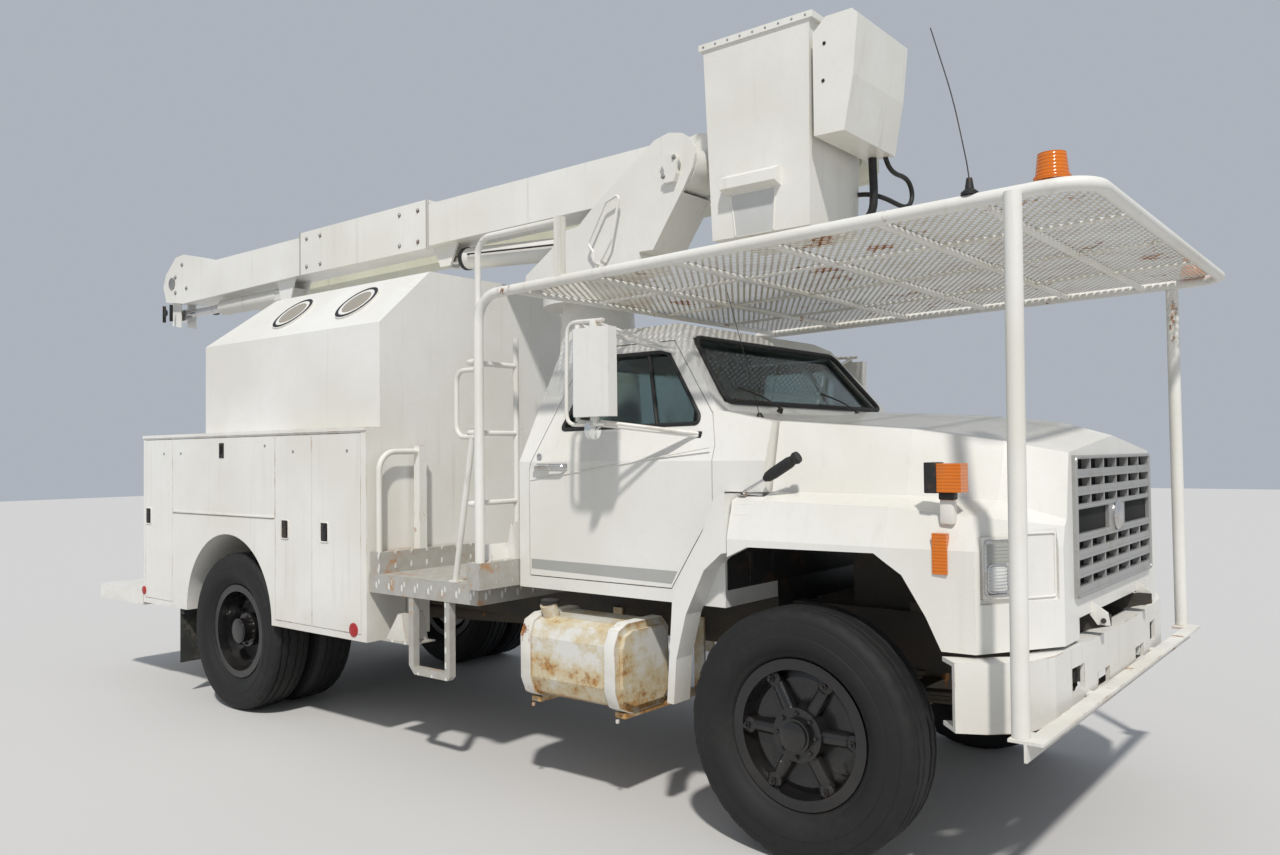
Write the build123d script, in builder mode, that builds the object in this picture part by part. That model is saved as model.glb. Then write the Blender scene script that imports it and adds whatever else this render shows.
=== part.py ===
from build123d import *
import os
from math import atan2, cos, degrees, hypot, radians, sin, tan

os.makedirs("parts", exist_ok=True)

# A bucket truck: a two-axle cab and chassis with twin rear tyres, a utility body with compartment
# doors, a covered box, a brush guard canopy, and a side by side articulated boom with a bucket.
# Millimetres. +X is forward, +Y is to the left, +Z is up. The origin is on the ground, under the
# middle of the whole outline.

# Running gear
front_axle_x = 2890.0
wheelbase = 4190.0
rear_axle_x = front_axle_x - wheelbase
tyre_radius = 515.0
tyre_width = 280.0
bead_radius = 292.0
rim_bore = 262.0
front_wheel_y = 981.0
rear_outer_y = 1061.0
rear_inner_y = 731.0
kingpin_y = 800.0
kingpin_radius = 24.0
hub_radius = 110.0
seat_gap = 0.4
running_gap = 0.05

# Frame rails
rail_rear_x = -2530.0
rail_front_x = 3780.0
rail_bottom_z = 700.0
rail_top_z = 950.0
rail_outer_y = 430.0
rail_flange = 80.0
rail_wall = 10.0

# Cab
cab_rear_x = 1220.0
cab_floor_z = 985.0
belt_z = 1630.0
cab_half_width = 1000.0
roof_z = 2310.0
roof_half_width = 765.0
roof_edge_z = 2267.0
windshield_base = (2415.0, 1859.0)
windshield_top = (2099.0, 2267.0)
cowl_front_x = 2712.0
cowl_top_z = 1800.0
cowl_bottom_z = 1495.0
firewall_x = 2500.0
cab_wall = 35.0
panel_gap = 5.0
door_front_x = 2438.0

# Hood and fenders, one piece that tilts forward
hood_rear_x = 2722.0
hood_front_x = 3850.0
hood_wall = 28.0
fender_half_width = 1120.0
fender_lip_z = 930.0
fender_seam_x = 2590.0
hood_hinge_x = 3895.0
hood_hinge_z = 980.0
hood_pin_radius = 10.0

# Utility body
body_rear_x = -2514.0
body_front_x = 201.0
body_half_width = 1215.0
body_inner_y = 765.0
body_bottom_z = 612.0
body_top_z = 1835.0
body_wall = 25.0
body_cap_reach = 8.0
body_floor_z = 1000.0
body_door_bottom_z = 650.0
body_door_top_z = 1803.0
drop_door_bottom_z = 1280.0
arch_x = rear_axle_x - 25.0
arch_z = 620.0
arch_radius = 540.0
shelf_rear_x = -3230.0
shelf_top_z = 700.0

# Covered box over the body
box_rear_x = -1790.0
box_ridge_rear_x = -1494.0
box_front_x = 200.0
box_half_width = 1118.0
box_ridge_y = 747.0
box_eave_z = 2445.0
box_ridge_z = 2785.0
box_wall = 25.0
port_radius = 160.0
port_x = (-990.0, -280.0)
port_z = 2620.0

# Turret and booms
turret_x = 900.0
turret_ring_radius = 340.0
turret_drop = 185.0
turret_base_z = box_ridge_z - turret_drop
turret_plate_bottom_z = turret_base_z + 100.0
lower_pivot_x = 1740.0
lower_pivot_z = turret_base_z + 630.0
boom_right_y = -300.0
lower_boom_width = 240.0
lower_boom_top_z = lower_pivot_z + 155.0
lower_boom_bottom_z = lower_pivot_z - 152.0
elbow_x = -3960.0
elbow_z = lower_pivot_z + 20.0
elbow_end_radius = 170.0
elbow_shaft_radius = 60.0
upper_boom_y = (335.0, 555.0)
upper_boom_z = (elbow_z - 95.0, elbow_z + 145.0)
upper_hub_radius = 150.0
bucket_pivot_x = 2400.0
bucket_pivot_z = elbow_z + 10.0
bucket_shaft_radius = 45.0
bucket_x = (1915.0, 2560.0)
bucket_y = (-282.0, 298.0)
bucket_bottom_z = bucket_pivot_z - 460.0
bucket_rim_z = bucket_pivot_z + 600.0
bucket_wall = 12.0
bucket_taper = 28.0
bucket_step_x = (2038.0, 2372.0)

# Lift cylinder, between the turret and a bracket under the lower boom
lift_y = -180.0
lift_base = (1190.0, turret_base_z + 305.0)
lift_eye = (-260.0, lower_pivot_z - 235.0)
lift_barrel_radius = 72.0
lift_rod_radius = 35.0
cylinder_pin_radius = 28.0

# Canopy over the cab
canopy_rail_y = 1250.0
canopy_rail_radius = 25.0
canopy_front_x = 4105.0
canopy_front_z = 2535.0
canopy_rear_z = 2470.0
canopy_post_x = 3860.0
canopy_post_y = 1300.0
canopy_post_radius = 30.0
canopy_rear_post_x = 1190.0


def block(x, y, z, mode=Mode.ADD):
    """A box from its low and high ends along X, Y and Z."""
    centre = ((x[0] + x[1]) / 2, (y[0] + y[1]) / 2, (z[0] + z[1]) / 2)
    with Locations(centre):
        Box(abs(x[1] - x[0]), abs(y[1] - y[0]), abs(z[1] - z[0]), mode=mode)


def prism_y(points, y, mode=Mode.ADD):
    """A side outline, given as (x, z) points, run across the truck between two y values."""
    with BuildSketch(Plane.XZ.offset(-max(y))) as outline:
        with BuildLine():
            Polyline(*points, close=True)
        make_face()
    extrude(to_extrude=outline.sketch, amount=abs(y[1] - y[0]), mode=mode)


def prism_x(points, x, mode=Mode.ADD):
    """A cross-section, given as (y, z) points, run along the truck between two x values."""
    with BuildSketch(Plane.YZ.offset(min(x))) as outline:
        with BuildLine():
            Polyline(*points, close=True)
        make_face()
    extrude(to_extrude=outline.sketch, amount=abs(x[1] - x[0]), mode=mode)


def prism_z(points, z, mode=Mode.ADD):
    """A plan outline, given as (x, y) points, run upwards between two z values."""
    with BuildSketch(Plane.XY.offset(min(z))) as outline:
        with BuildLine():
            Polyline(*points, close=True)
        make_face()
    extrude(to_extrude=outline.sketch, amount=abs(z[1] - z[0]), mode=mode)


def rod(start, end, radius, mode=Mode.ADD):
    """A round bar between two points."""
    axis = Vector(*end) - Vector(*start)
    with BuildSketch(Plane(origin=start, z_dir=axis)) as section:
        Circle(radius)
    extrude(to_extrude=section.sketch, amount=axis.length, mode=mode)


def disc_y(x, z, y, radius, mode=Mode.ADD):
    """A round disc or shaft along Y, between two y values."""
    rod((x, min(y), z), (x, max(y), z), radius, mode=mode)


def bent_tube(points, radius, bend):
    """A tube along straight runs with tangent bends of one radius."""
    with BuildLine() as path:
        if len(points) > 2:
            FilletPolyline(*points, radius=bend)
        else:
            Line(*points)
    start = path.wire() @ 0
    with BuildSketch(Plane(origin=start, z_dir=path.wire() % 0)) as section:
        Circle(radius)
    sweep(sections=section.sketch, path=path.wire())


def both_sides(y):
    """The right and left copies of a pair of y values."""
    return ((-y[0], -y[1]), (y[0], y[1]))


def save(part, name):
    """Label a finished piece and write its file."""
    part.label = name
    export_step(part, f"parts/{name}.step")


# Chassis frame: two channel rails, cross members and the rear shelf's hanger plates
cross_member_x = (-2480.0, -1850.0, -700.0, 240.0, 1500.0, 3700.0)
with BuildPart() as chassis_frame:
    for side in (-1, 1):
        block((rail_rear_x, rail_front_x), (side * (rail_outer_y - rail_wall), side * rail_outer_y),
              (rail_bottom_z, rail_top_z))
        for z in (rail_bottom_z, rail_top_z - rail_wall):
            block((rail_rear_x, rail_front_x), (side * (rail_outer_y - rail_flange), side * rail_outer_y),
                  (z, z + rail_wall))
    for x in cross_member_x:
        block((x, x + 50), (-rail_outer_y + rail_wall, rail_outer_y - rail_wall),
              (rail_bottom_z + 40, rail_top_z - 40))
    for x in (1300.0, 2380.0):
        for side in (-1, 1):
            block((x, x + 80), (side * (rail_outer_y - rail_flange), side * rail_outer_y),
                  (rail_top_z, cab_floor_z))
    for side in (-1, 1):
        prism_y([(3600, 880), (3640, 940), (3860, 1002), (3915, 1002), (3915, 958), (3790, 925), (3790, 880)],
                (side * 350, side * 366))
        disc_y(hood_hinge_x, hood_hinge_z, (side * 360, side * 396), hood_pin_radius)
        block((shelf_rear_x + 200, rail_rear_x), (side * 350, side * 365), (shelf_top_z, rail_top_z - 60))
        block((rail_rear_x - 60, rail_rear_x + 120), (side * (rail_outer_y - rail_wall), side * 350),
              (rail_bottom_z + 20, rail_top_z - 60))
save(chassis_frame.part, "chassis_frame")

# Tail shelf: a plate-topped step across the back, with the hitch plate's four holes
hitch_spacing_y = 85.7
hitch_spacing_z = 44.5
hitch_hole_radius = 6.75
hitch_z = 640.0
shelf_front_x = body_rear_x - 6.0
with BuildPart() as tail_shelf:
    block((shelf_rear_x, shelf_front_x), (-body_half_width, body_half_width), (shelf_top_z - 8, shelf_top_z))
    for x in (shelf_rear_x, shelf_front_x - 12):
        block((x, x + 12), (-body_half_width, body_half_width), (shelf_top_z - 110, shelf_top_z - 8))
    for y in (-body_half_width, -360.0, 348.0, body_half_width - 12):
        block((shelf_rear_x + 12, shelf_front_x - 12), (y, y + 12), (shelf_top_z - 110, shelf_top_z - 8))
    block((shelf_rear_x - 12, shelf_rear_x), (-140, 140), (hitch_z - 60, hitch_z + 58))
    with BuildSketch(Plane.YZ.offset(shelf_rear_x - 12)) as hitch_holes:
        with Locations((0, hitch_z)):
            with GridLocations(hitch_spacing_y, hitch_spacing_z, 2, 2):
                Circle(hitch_hole_radius)
    extrude(to_extrude=hitch_holes.sketch, amount=24, mode=Mode.SUBTRACT)
save(tail_shelf.part, "tail_shelf")

# Front axle beam with its leaf springs
axle_z = tyre_radius
front_beam_end_y = 716.0
spring_y = 390.0
with BuildPart() as front_axle:
    prism_x([(-front_beam_end_y, axle_z + 50), (-front_beam_end_y, axle_z - 50), (-620, axle_z - 60),
             (-480, axle_z - 115), (480, axle_z - 115), (620, axle_z - 60), (front_beam_end_y, axle_z - 50),
             (front_beam_end_y, axle_z + 50), (560, axle_z + 40), (440, axle_z - 25), (-440, axle_z - 25),
             (-560, axle_z + 40)], (front_axle_x - 50, front_axle_x + 50))
    for side in (-1, 1):
        block((front_axle_x - 55, front_axle_x + 55), (side * (spring_y - 40), side * (spring_y + 40)),
              (axle_z - 25, axle_z + 20))
        block((front_axle_x - 38, front_axle_x + 38), (side * front_beam_end_y, side * kingpin_y),
              (axle_z - 55, axle_z + 55))
        rod((front_axle_x, side * kingpin_y, axle_z - 55), (front_axle_x, side * kingpin_y, axle_z + 55), 38)
        rod((front_axle_x, side * kingpin_y, axle_z - 105), (front_axle_x, side * kingpin_y, axle_z + 105),
            kingpin_radius)
save(front_axle.part, "front_axle")

spring_half_length = 640.0
# Leaf packs: axle x, pad top z, half length, number of leaves
with BuildPart() as leaf_springs:
    for x, pad_z, half, leaves in ((front_axle_x, axle_z + 20, 620.0, 4), (rear_axle_x, axle_z + 75, 660.0, 6)):
        for side in (-1, 1):
            y = (side * (spring_y - 36), side * (spring_y + 36))
            rise = rail_bottom_z - 62 - pad_z
            for leaf in range(leaves):
                reach = half - leaf * half / (leaves + 1.5)
                low = pad_z + 15.0 * (leaves - 1 - leaf)
                lift = rise * (reach / half) ** 2 * 0.35
                prism_y([(x - reach, low + lift), (x - 120, low), (x + 120, low), (x + reach, low + lift),
                         (x + reach, low + lift + 15), (x + 120, low + 15), (x - 120, low + 15),
                         (x - reach, low + lift + 15)], y)
            top = pad_z + 15.0 * leaves + rise * 0.35
            for end in (-1, 1):
                eye_x = x + end * (half - 30)
                block((eye_x - 30, eye_x + 30), y, (top - 26, rail_bottom_z))
save(leaf_springs.part, "leaf_springs")

# Rear axle: banjo housing, tubes, pinion nose and the drive shaft to the gearbox
gearbox_rear_x = 1900.0
with BuildPart() as rear_axle:
    rod((rear_axle_x, -900, axle_z), (rear_axle_x, 900, axle_z), 62)
    rod((rear_axle_x - 110, 0, axle_z), (rear_axle_x + 130, 0, axle_z), 190)
    rod((rear_axle_x + 130, 0, axle_z), (rear_axle_x + 330, 0, axle_z + 25), 75)
    rod((rear_axle_x + 330, 0, axle_z + 25), (gearbox_rear_x - 4, 0, 690), 48)
    for side in (-1, 1):
        block((rear_axle_x - 70, rear_axle_x + 70), (side * (spring_y - 45), side * (spring_y + 45)),
              (axle_z, axle_z + 75))
save(rear_axle.part, "rear_axle")

# Engine and gearbox as plain masses, with the radiator behind the grille
with BuildPart() as engine_block:
    block((2760, 3540), (-290, 290), (790, 1400))
    block((gearbox_rear_x, 2760), (-190, 190), (600, 940))
    block((3600, 3670), (-400, 400), (960, 1560))
    block((3540, 3600), (-60, 60), (1000, 1200))
    for side in (-1, 1):
        block((3100, 3190), (side * 280, side * 425), (rail_top_z + 0.3, rail_top_z + 40))
        block((3610, 3660), (side * 360, side * 400), (rail_top_z + 0.3, 970))
        block((2000, 2060), (side * 180, side * (rail_outer_y - rail_wall - 0.3)), (760, 800))
save(engine_block.part, "engine_block")


def wheel_profile(width, dish_y, disc):
    """Half section of a rim with its disc: the rim's flanges, bed and the dished centre."""
    half = width / 2
    return [(hub_radius, dish_y - disc), (rim_bore - 40, dish_y - disc + 10), (rim_bore - 14, -half + 60),
            (rim_bore, -half), (bead_radius + 14, -half), (bead_radius + 14, -half + 14),
            (bead_radius - 4, -half + 14), (bead_radius - 4, half - 14), (bead_radius + 14, half - 14),
            (bead_radius + 14, half), (rim_bore, half), (rim_bore - 14, half - 60),
            (rim_bore - 40, dish_y + 10), (hub_radius, dish_y)]


def revolve_wheel(profile, x, y, side):
    """Turn a half section, given as (radius, outward distance) points, about a wheel's axle."""
    plane = Plane(origin=(x, y, axle_z), x_dir=(0, 0, 1), z_dir=(-side, 0, 0))
    with BuildSketch(plane) as section:
        with BuildLine():
            Polyline(*profile, close=True)
        make_face()
    revolve(profiles=section.sketch, axis=Axis((x, y, axle_z), (0, 1, 0)), revolution_arc=360)


def tyre_profile(width):
    """Half section of a tyre: bead, bulged wall, shoulder and tread."""
    half = width / 2
    bead = bead_radius - 4 + seat_gap
    rim_clear = half - 62
    lip = bead_radius + 14 + seat_gap
    return [(bead, -rim_clear), (lip, -rim_clear), (lip + 24, -rim_clear - 26), (bead + 110, -half),
            (bead + 165, -half + 6), (tyre_radius - 22, -half + 22), (tyre_radius, -half + 52),
            (tyre_radius, half - 52), (tyre_radius - 22, half - 22), (bead + 165, half - 6), (bead + 110, half),
            (lip + 24, rim_clear + 26), (lip, rim_clear), (bead, rim_clear)]


rim_width = 2 * (tyre_width / 2 - 62) + 2 * 14.0 + 0.8
# Steering knuckle: axle clevis, spindle and steering arm
clevis_gap = 0.6
spindle_radius = 38.0
arm_end_x = front_axle_x - 230
tie_rod_y = 690.0
tie_rod_radius = 17.0
tie_rod_z = axle_z - 100 - tie_rod_radius - seat_gap
for side, word in ((-1, "right"), (1, "left")):
    with BuildPart() as knuckle:
        for z in ((axle_z - 100, axle_z - 55 - clevis_gap), (axle_z + 55 + clevis_gap, axle_z + 100)):
            with BuildSketch(Plane.XY.offset(z[0])) as ear:
                with Locations((front_axle_x, side * kingpin_y)):
                    Circle(46)
                    Rectangle(92, 60, align=(Align.CENTER, Align.MIN if side > 0 else Align.MAX))
                    Circle(kingpin_radius + running_gap, mode=Mode.SUBTRACT)
            extrude(to_extrude=ear.sketch, amount=z[1] - z[0])
        block((front_axle_x - 46, front_axle_x + 46), (side * (kingpin_y + 44), side * (kingpin_y + 62)),
              (axle_z - 100, axle_z + 100))
        rod((front_axle_x, side * (kingpin_y + 62), axle_z), (front_axle_x, side * (kingpin_y + 190), axle_z),
            spindle_radius)
        prism_z([(front_axle_x - 30, side * (kingpin_y - 30)), (arm_end_x, side * (tie_rod_y - 30)),
                 (arm_end_x - 30, side * (tie_rod_y + 10)), (front_axle_x - 44, side * (kingpin_y + 20))],
                (axle_z - 100, axle_z - 78))
    save(knuckle.part, f"knuckle_{word}")

with BuildPart() as tie_rod:
    rod((arm_end_x - 10, -tie_rod_y - 20, tie_rod_z), (arm_end_x - 10, tie_rod_y + 20, tie_rod_z), tie_rod_radius)
save(tie_rod.part, "tie_rod")

# Front wheels: rim with a spoked centre that stands out, and the tyre
spoke_count = 6
for side, word in ((-1, "right"), (1, "left")):
    with BuildPart() as wheel_front:
        revolve_wheel(wheel_profile(rim_width, 30.0, 22.0), front_axle_x, side * front_wheel_y, side)
        hub_in = side * (kingpin_y + 70)
        hub_out = side * (front_wheel_y + 95)
        rod((front_axle_x, hub_in, axle_z), (front_axle_x, hub_out, axle_z), hub_radius)
        rod((front_axle_x, hub_out, axle_z), (front_axle_x, side * (front_wheel_y + 120), axle_z), 70)
        for spoke in range(spoke_count):
            turn = radians(360 / spoke_count * (spoke + 0.5))
            far = (front_axle_x + 236 * sin(turn), side * (front_wheel_y + 44), axle_z + 236 * cos(turn))
            rod((front_axle_x, side * (front_wheel_y + 60), axle_z), far, 30)
        rod((front_axle_x, side * (kingpin_y + 60), axle_z), (front_axle_x, side * (kingpin_y + 192), axle_z),
            spindle_radius + running_gap, mode=Mode.SUBTRACT)
    save(wheel_front.part, f"wheel_front_{word}")
    with BuildPart() as tyre_front:
        revolve_wheel(tyre_profile(tyre_width), front_axle_x, side * front_wheel_y, side)
    save(tyre_front.part, f"tyre_front_{word}")
    with BuildPart() as wheels_rear:
        revolve_wheel(wheel_profile(rim_width, -55.0, 22.0), rear_axle_x, side * rear_outer_y, side)
        revolve_wheel(wheel_profile(rim_width, 55.0, 22.0), rear_axle_x, side * rear_inner_y, -side)
        rod((rear_axle_x, side * 640, axle_z), (rear_axle_x, side * (rear_outer_y + 30), axle_z), hub_radius)
        rod((rear_axle_x, side * (rear_outer_y + 30), axle_z), (rear_axle_x, side * (rear_outer_y + 90), axle_z), 80)
        rod((rear_axle_x, side * 630, axle_z), (rear_axle_x, side * 901, axle_z), 62 + running_gap,
            mode=Mode.SUBTRACT)
    save(wheels_rear.part, f"wheels_rear_{word}")
    with BuildPart() as tyres_rear:
        for y in (rear_outer_y, rear_inner_y):
            revolve_wheel(tyre_profile(tyre_width), rear_axle_x, side * y, side)
    save(tyres_rear.part, f"tyres_rear_{word}")

def inset(points, amount):
    """Move a convex outline inwards by one distance."""
    with BuildSketch() as grown:
        with BuildLine():
            Polyline(*points, close=True)
        make_face()
        offset(amount=-amount, kind=Kind.INTERSECTION)
    corners = grown.sketch.faces()[0].outer_wire().order_edges()
    return [(edge.position_at(0).X, edge.position_at(0).Y) for edge in corners]


# Fuel tanks with straps and hangers, one each side
tank_x = (1345.0, 2010.0)
tank_y = (760.0, 1140.0)
tank_z = (470.0, 862.0)
strap_x = (1378.0, 1925.0)
strap_width = 62.0
with BuildPart() as fuel_tanks:
    for side in (-1, 1):
        low, high = tank_z
        inner, outer = tank_y
        section = [(side * inner, low + 50), (side * (inner + 50), low), (side * (outer - 100), low),
                   (side * (outer - 30), low + 32), (side * outer, low + 105), (side * outer, high - 90),
                   (side * (outer - 28), high - 26), (side * (outer - 90), high), (side * (inner + 50), high),
                   (side * inner, high - 50)]
        prism_x(section, (tank_x[0] + 40, tank_x[1] - 40))
        for x in ((tank_x[0], tank_x[0] + 40), (tank_x[1] - 40, tank_x[1])):
            prism_x(inset(section, 22.0), x)
        for x in strap_x:
            prism_x(inset(section, -12.0), (x, x + strap_width))
            block((x, x + strap_width), (side * (rail_outer_y + seat_gap), side * (outer - 60)), (low - 34, low - 10))
            block((x, x + strap_width), (side * (rail_outer_y + seat_gap), side * (rail_outer_y + 14)),
                  (low - 34, rail_bottom_z + 120))
        rod((tank_x[0] + 130, side * (outer - 110), high - 2), (tank_x[0] + 130, side * (outer - 82), high + 62), 42)
save(fuel_tanks.part, "fuel_tanks")

# Cab: outer and inner forms, from which the shell and the doors are cut
cab_side = [(cab_rear_x, cab_floor_z), (cab_rear_x, belt_z), (1330, roof_edge_z), (1385, roof_z), (2030, roof_z),
            windshield_top, windshield_base, (cowl_front_x, cowl_top_z), (cowl_front_x, cowl_bottom_z),
            (firewall_x, cowl_bottom_z), (firewall_x, cab_floor_z)]
cab_section = [(-cab_half_width, cab_floor_z), (cab_half_width, cab_floor_z), (cab_half_width, belt_z),
               (roof_half_width, roof_edge_z), (roof_half_width - 90, roof_z), (90 - roof_half_width, roof_z),
               (-roof_half_width, roof_edge_z), (-cab_half_width, belt_z)]
inner_side = [(cab_rear_x + cab_wall, cab_floor_z + cab_wall), (cab_rear_x + cab_wall, belt_z),
              (1362, roof_edge_z - 20), (1400, roof_z - cab_wall), (2015, roof_z - cab_wall),
              (windshield_top[0] - 28, windshield_top[1] - 28), (windshield_base[0] - 16, windshield_base[1] - 34),
              (firewall_x - cab_wall, windshield_base[1] - 50), (firewall_x - cab_wall, cab_floor_z + cab_wall)]
inner_half = cab_half_width - cab_wall
inner_section = [(-inner_half, cab_floor_z), (inner_half, cab_floor_z), (inner_half, belt_z),
                 (roof_half_width - cab_wall, roof_edge_z), (roof_half_width - 100, roof_z),
                 (100 - roof_half_width, roof_z), (cab_wall - roof_half_width, roof_edge_z), (-inner_half, belt_z)]
with BuildPart() as cab_outer:
    prism_y(cab_side, (-cab_half_width, cab_half_width))
    prism_x(cab_section, (cab_rear_x, cowl_front_x), mode=Mode.INTERSECT)
with BuildPart() as cab_inner:
    prism_y(inner_side, (-cab_half_width, cab_half_width))
    prism_x(inner_section, (cab_rear_x, cowl_front_x), mode=Mode.INTERSECT)

# Door outline, from the rear lower corner round, and its window
door_outline = [(1290, 1045), (1290, 1590), (1512, 2215), (2078, 2215), (2392, 1846), (door_front_x, 1700),
                (door_front_x, 1400), (2330, 1240), (2205, 1045)]
window_outline = [(1468, 1790), (1602, 2158), (2050, 2158), (2318, 1836), (2318, 1800)]


windshield_cut = [(-815, 1900), (815, 1900), (708, 2228), (-708, 2228)]
rear_window_cut = [(-520, 1760), (520, 1760), (480, 2140), (-480, 2140)]
with BuildPart() as cab_shell:
    add(cab_outer.part)
    add(cab_inner.part, mode=Mode.SUBTRACT)
    for y in both_sides((500.0, 1100.0)):
        prism_y(door_outline, y, mode=Mode.SUBTRACT)
    prism_x(windshield_cut, (1900, 2480), mode=Mode.SUBTRACT)
    prism_x(rear_window_cut, (1150, 1420), mode=Mode.SUBTRACT)
save(cab_shell.part, "cab_shell")

# Rear parts of the front fenders, fixed to the cab behind the wheel arch
tail_outline = [(2262, 560), (2300, 560), (2316, 760), (2370, 960), (2470, 1160), (2560, 1236), (2585, 1240),
                (2585, 1488), (2530, 1488), (2466, 1330), (2366, 1170), (2296, 1010)]
with BuildPart() as fender_tails:
    for y in both_sides((cab_half_width + 0.3, fender_half_width)):
        prism_y(tail_outline, y)
save(fender_tails.part, "fender_tails")

# Glass of the cab that doesn't move with a door
with BuildPart() as cab_glass:
    x0, z0 = windshield_base
    x1, z1 = windshield_top
    prism_y([(x0 - 20, z0 - 8), (x0 - 27, z0 - 13), (x1 - 27, z1 - 13), (x1 - 20, z1 - 8)], (-900, 900))
    prism_x([(-814, 1901), (814, 1901), (707, 2227), (-707, 2227)], (1900, 2480), mode=Mode.INTERSECT)
with BuildPart() as rear_glass:
    slope = (1330 - cab_rear_x) / (roof_edge_z - belt_z)
    low_x = cab_rear_x + 14 + slope * (1761 - belt_z)
    high_x = cab_rear_x + 14 + slope * (2139 - belt_z)
    prism_y([(low_x, 1761), (low_x + 6, 1761), (high_x + 6, 2139), (high_x, 2139)], (-600, 600))
    prism_x([(-519, 1761), (519, 1761), (479, 2139), (-479, 2139)], (1150, 1420), mode=Mode.INTERSECT)
with BuildPart() as both_panes:
    add(cab_glass.part)
    add(rear_glass.part)
save(both_panes.part, "cab_glass")

# Doors with their mirrors, each hinged at its front edge
mirror_x = (1880.0, 2080.0)
mirror_z = (1835.0, 2240.0)
mirror_y = 1255.0
for side, word in ((-1, "right"), (1, "left")):
    reach = (side * 500, side * 1100)
    with BuildPart() as door:
        add(cab_outer.part)
        add(cab_inner.part, mode=Mode.SUBTRACT)
        prism_y(inset(door_outline, panel_gap), reach, mode=Mode.INTERSECT)
        prism_y(window_outline, reach, mode=Mode.SUBTRACT)
        block((1340, 1440), (side * (cab_half_width - 30), side * (cab_half_width + 26)), (1590, 1614))
        tube_x = mirror_x[0] - 12
        rod((tube_x, side * mirror_y, mirror_z[0] - 20), (tube_x, side * mirror_y, mirror_z[1] + 20), 11)
        rod((tube_x, side * mirror_y, mirror_z[1] + 20), (2098, side * 798, 2152), 11)
        rod((tube_x, side * mirror_y, mirror_z[0] - 20), (2345, side * 944, 1742), 11)
        block((tube_x, mirror_x[1]), (side * (mirror_y - 30), side * (mirror_y + 30)), mirror_z)
    save(door.part, f"door_{word}")
    with BuildPart() as door_glass:
        prism_y(inset(window_outline, 0.3), (side * 500, side * 1100))
        with BuildPart(mode=Mode.PRIVATE) as glass_sheet:
            outer = [(cab_half_width - 16, belt_z), (roof_half_width - 16, roof_edge_z),
                     (roof_half_width - 22, roof_edge_z), (cab_half_width - 22, belt_z)]
            prism_x([(side * y, z) for y, z in outer], (cab_rear_x, cowl_front_x))
        add(glass_sheet.part, mode=Mode.INTERSECT)
    save(door_glass.part, f"door_glass_{word}")

# Seat and dash
with BuildPart() as bench_seat:
    prism_y([(1440, 1180), (1980, 1200), (2000, 1300), (1960, 1340), (1560, 1320), (1480, 1850), (1360, 1850),
             (1380, 1300)], (-680, 680))
    block((1450, 1950), (-660, 660), (cab_floor_z + cab_wall, 1181))
save(bench_seat.part, "bench_seat")

wheel_centre = (2080.0, 360.0, 1640.0)
with BuildPart() as dashboard:
    prism_y([(2464.6, 1380), (2330, 1400), (2260, 1560), (2280, 1680), (2370, 1740), (2464.6, 1740)], (-900, 900))
    column = Plane(origin=wheel_centre, z_dir=(-0.78, 0, 0.62))
    with Locations(column):
        Torus(205, 15)
        Box(400, 34, 16)
        Cylinder(50, 30)
    rod(wheel_centre, (2340, 360, 1433), 30)
save(dashboard.part, "dashboard")


def hood_section(half, crown, top_edge, base, shoulder, lip, inner=0.0):
    """Cross-section of the hood and fenders: (y, z) down one side and back up the other."""
    side = [top_edge, base, shoulder, (half, 1300.0 - inner)]
    right = [(-y, z) for y, z in reversed(side)]
    return [(0.0, crown)] + side + [(half, lip), (-half, lip)] + right


# Stations of the hood: x, half width, crown z, top edge, foot of the hood's side, fender's crease
hood_stations = [(hood_rear_x, 1120, 1862, (890, 1800), (962, 1500), (1075, 1462)),
                 (3300.0, 1120, 1826, (820, 1752), (900, 1490), (1068, 1450)),
                 (3640.0, 1096, 1786, (745, 1698), (830, 1475), (1040, 1420)),
                 (hood_front_x, 748, 1722, (655, 1652), (700, 1400), (724, 1376))]


def hood_form(wall):
    """The hood's solid form, taken in by a wall thickness."""
    faces = []
    for x, half, crown, top_edge, base, shoulder in hood_stations:
        end = wall if x == hood_front_x else 0.0
        drop = lambda point: (point[0] - wall, point[1] - wall)
        points = hood_section(half - wall, crown - wall, drop(top_edge), drop(base), drop(shoulder),
                              fender_lip_z - wall * 40, wall)
        with BuildSketch(Plane.YZ.offset(x - end)) as section:
            with BuildLine():
                Polyline(*points, close=True)
            make_face()
        faces.append(section.sketch.faces()[0])
    return faces


# Headlamp recesses lie in the swept corner faces of the hood
corner_outer = (3640.0, 1096.0)
corner_inner = (hood_front_x, 748.0)
headlamp_z = 1237.0
headlamp_reach = (24.0, 384.0)
recess_depth = 13.0


def headlamp_plane(side):
    """Local plane of one corner face: x runs inwards from its outer edge, y up or down, z outwards."""
    along_face = Vector(corner_inner[0] - corner_outer[0], side * (corner_inner[1] - corner_outer[1]), 0)
    outward = Vector(corner_outer[1] - corner_inner[1], side * (corner_inner[0] - corner_outer[0]), 0)
    return Plane(origin=(corner_outer[0], side * corner_outer[1], headlamp_z), x_dir=along_face, z_dir=outward)


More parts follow.
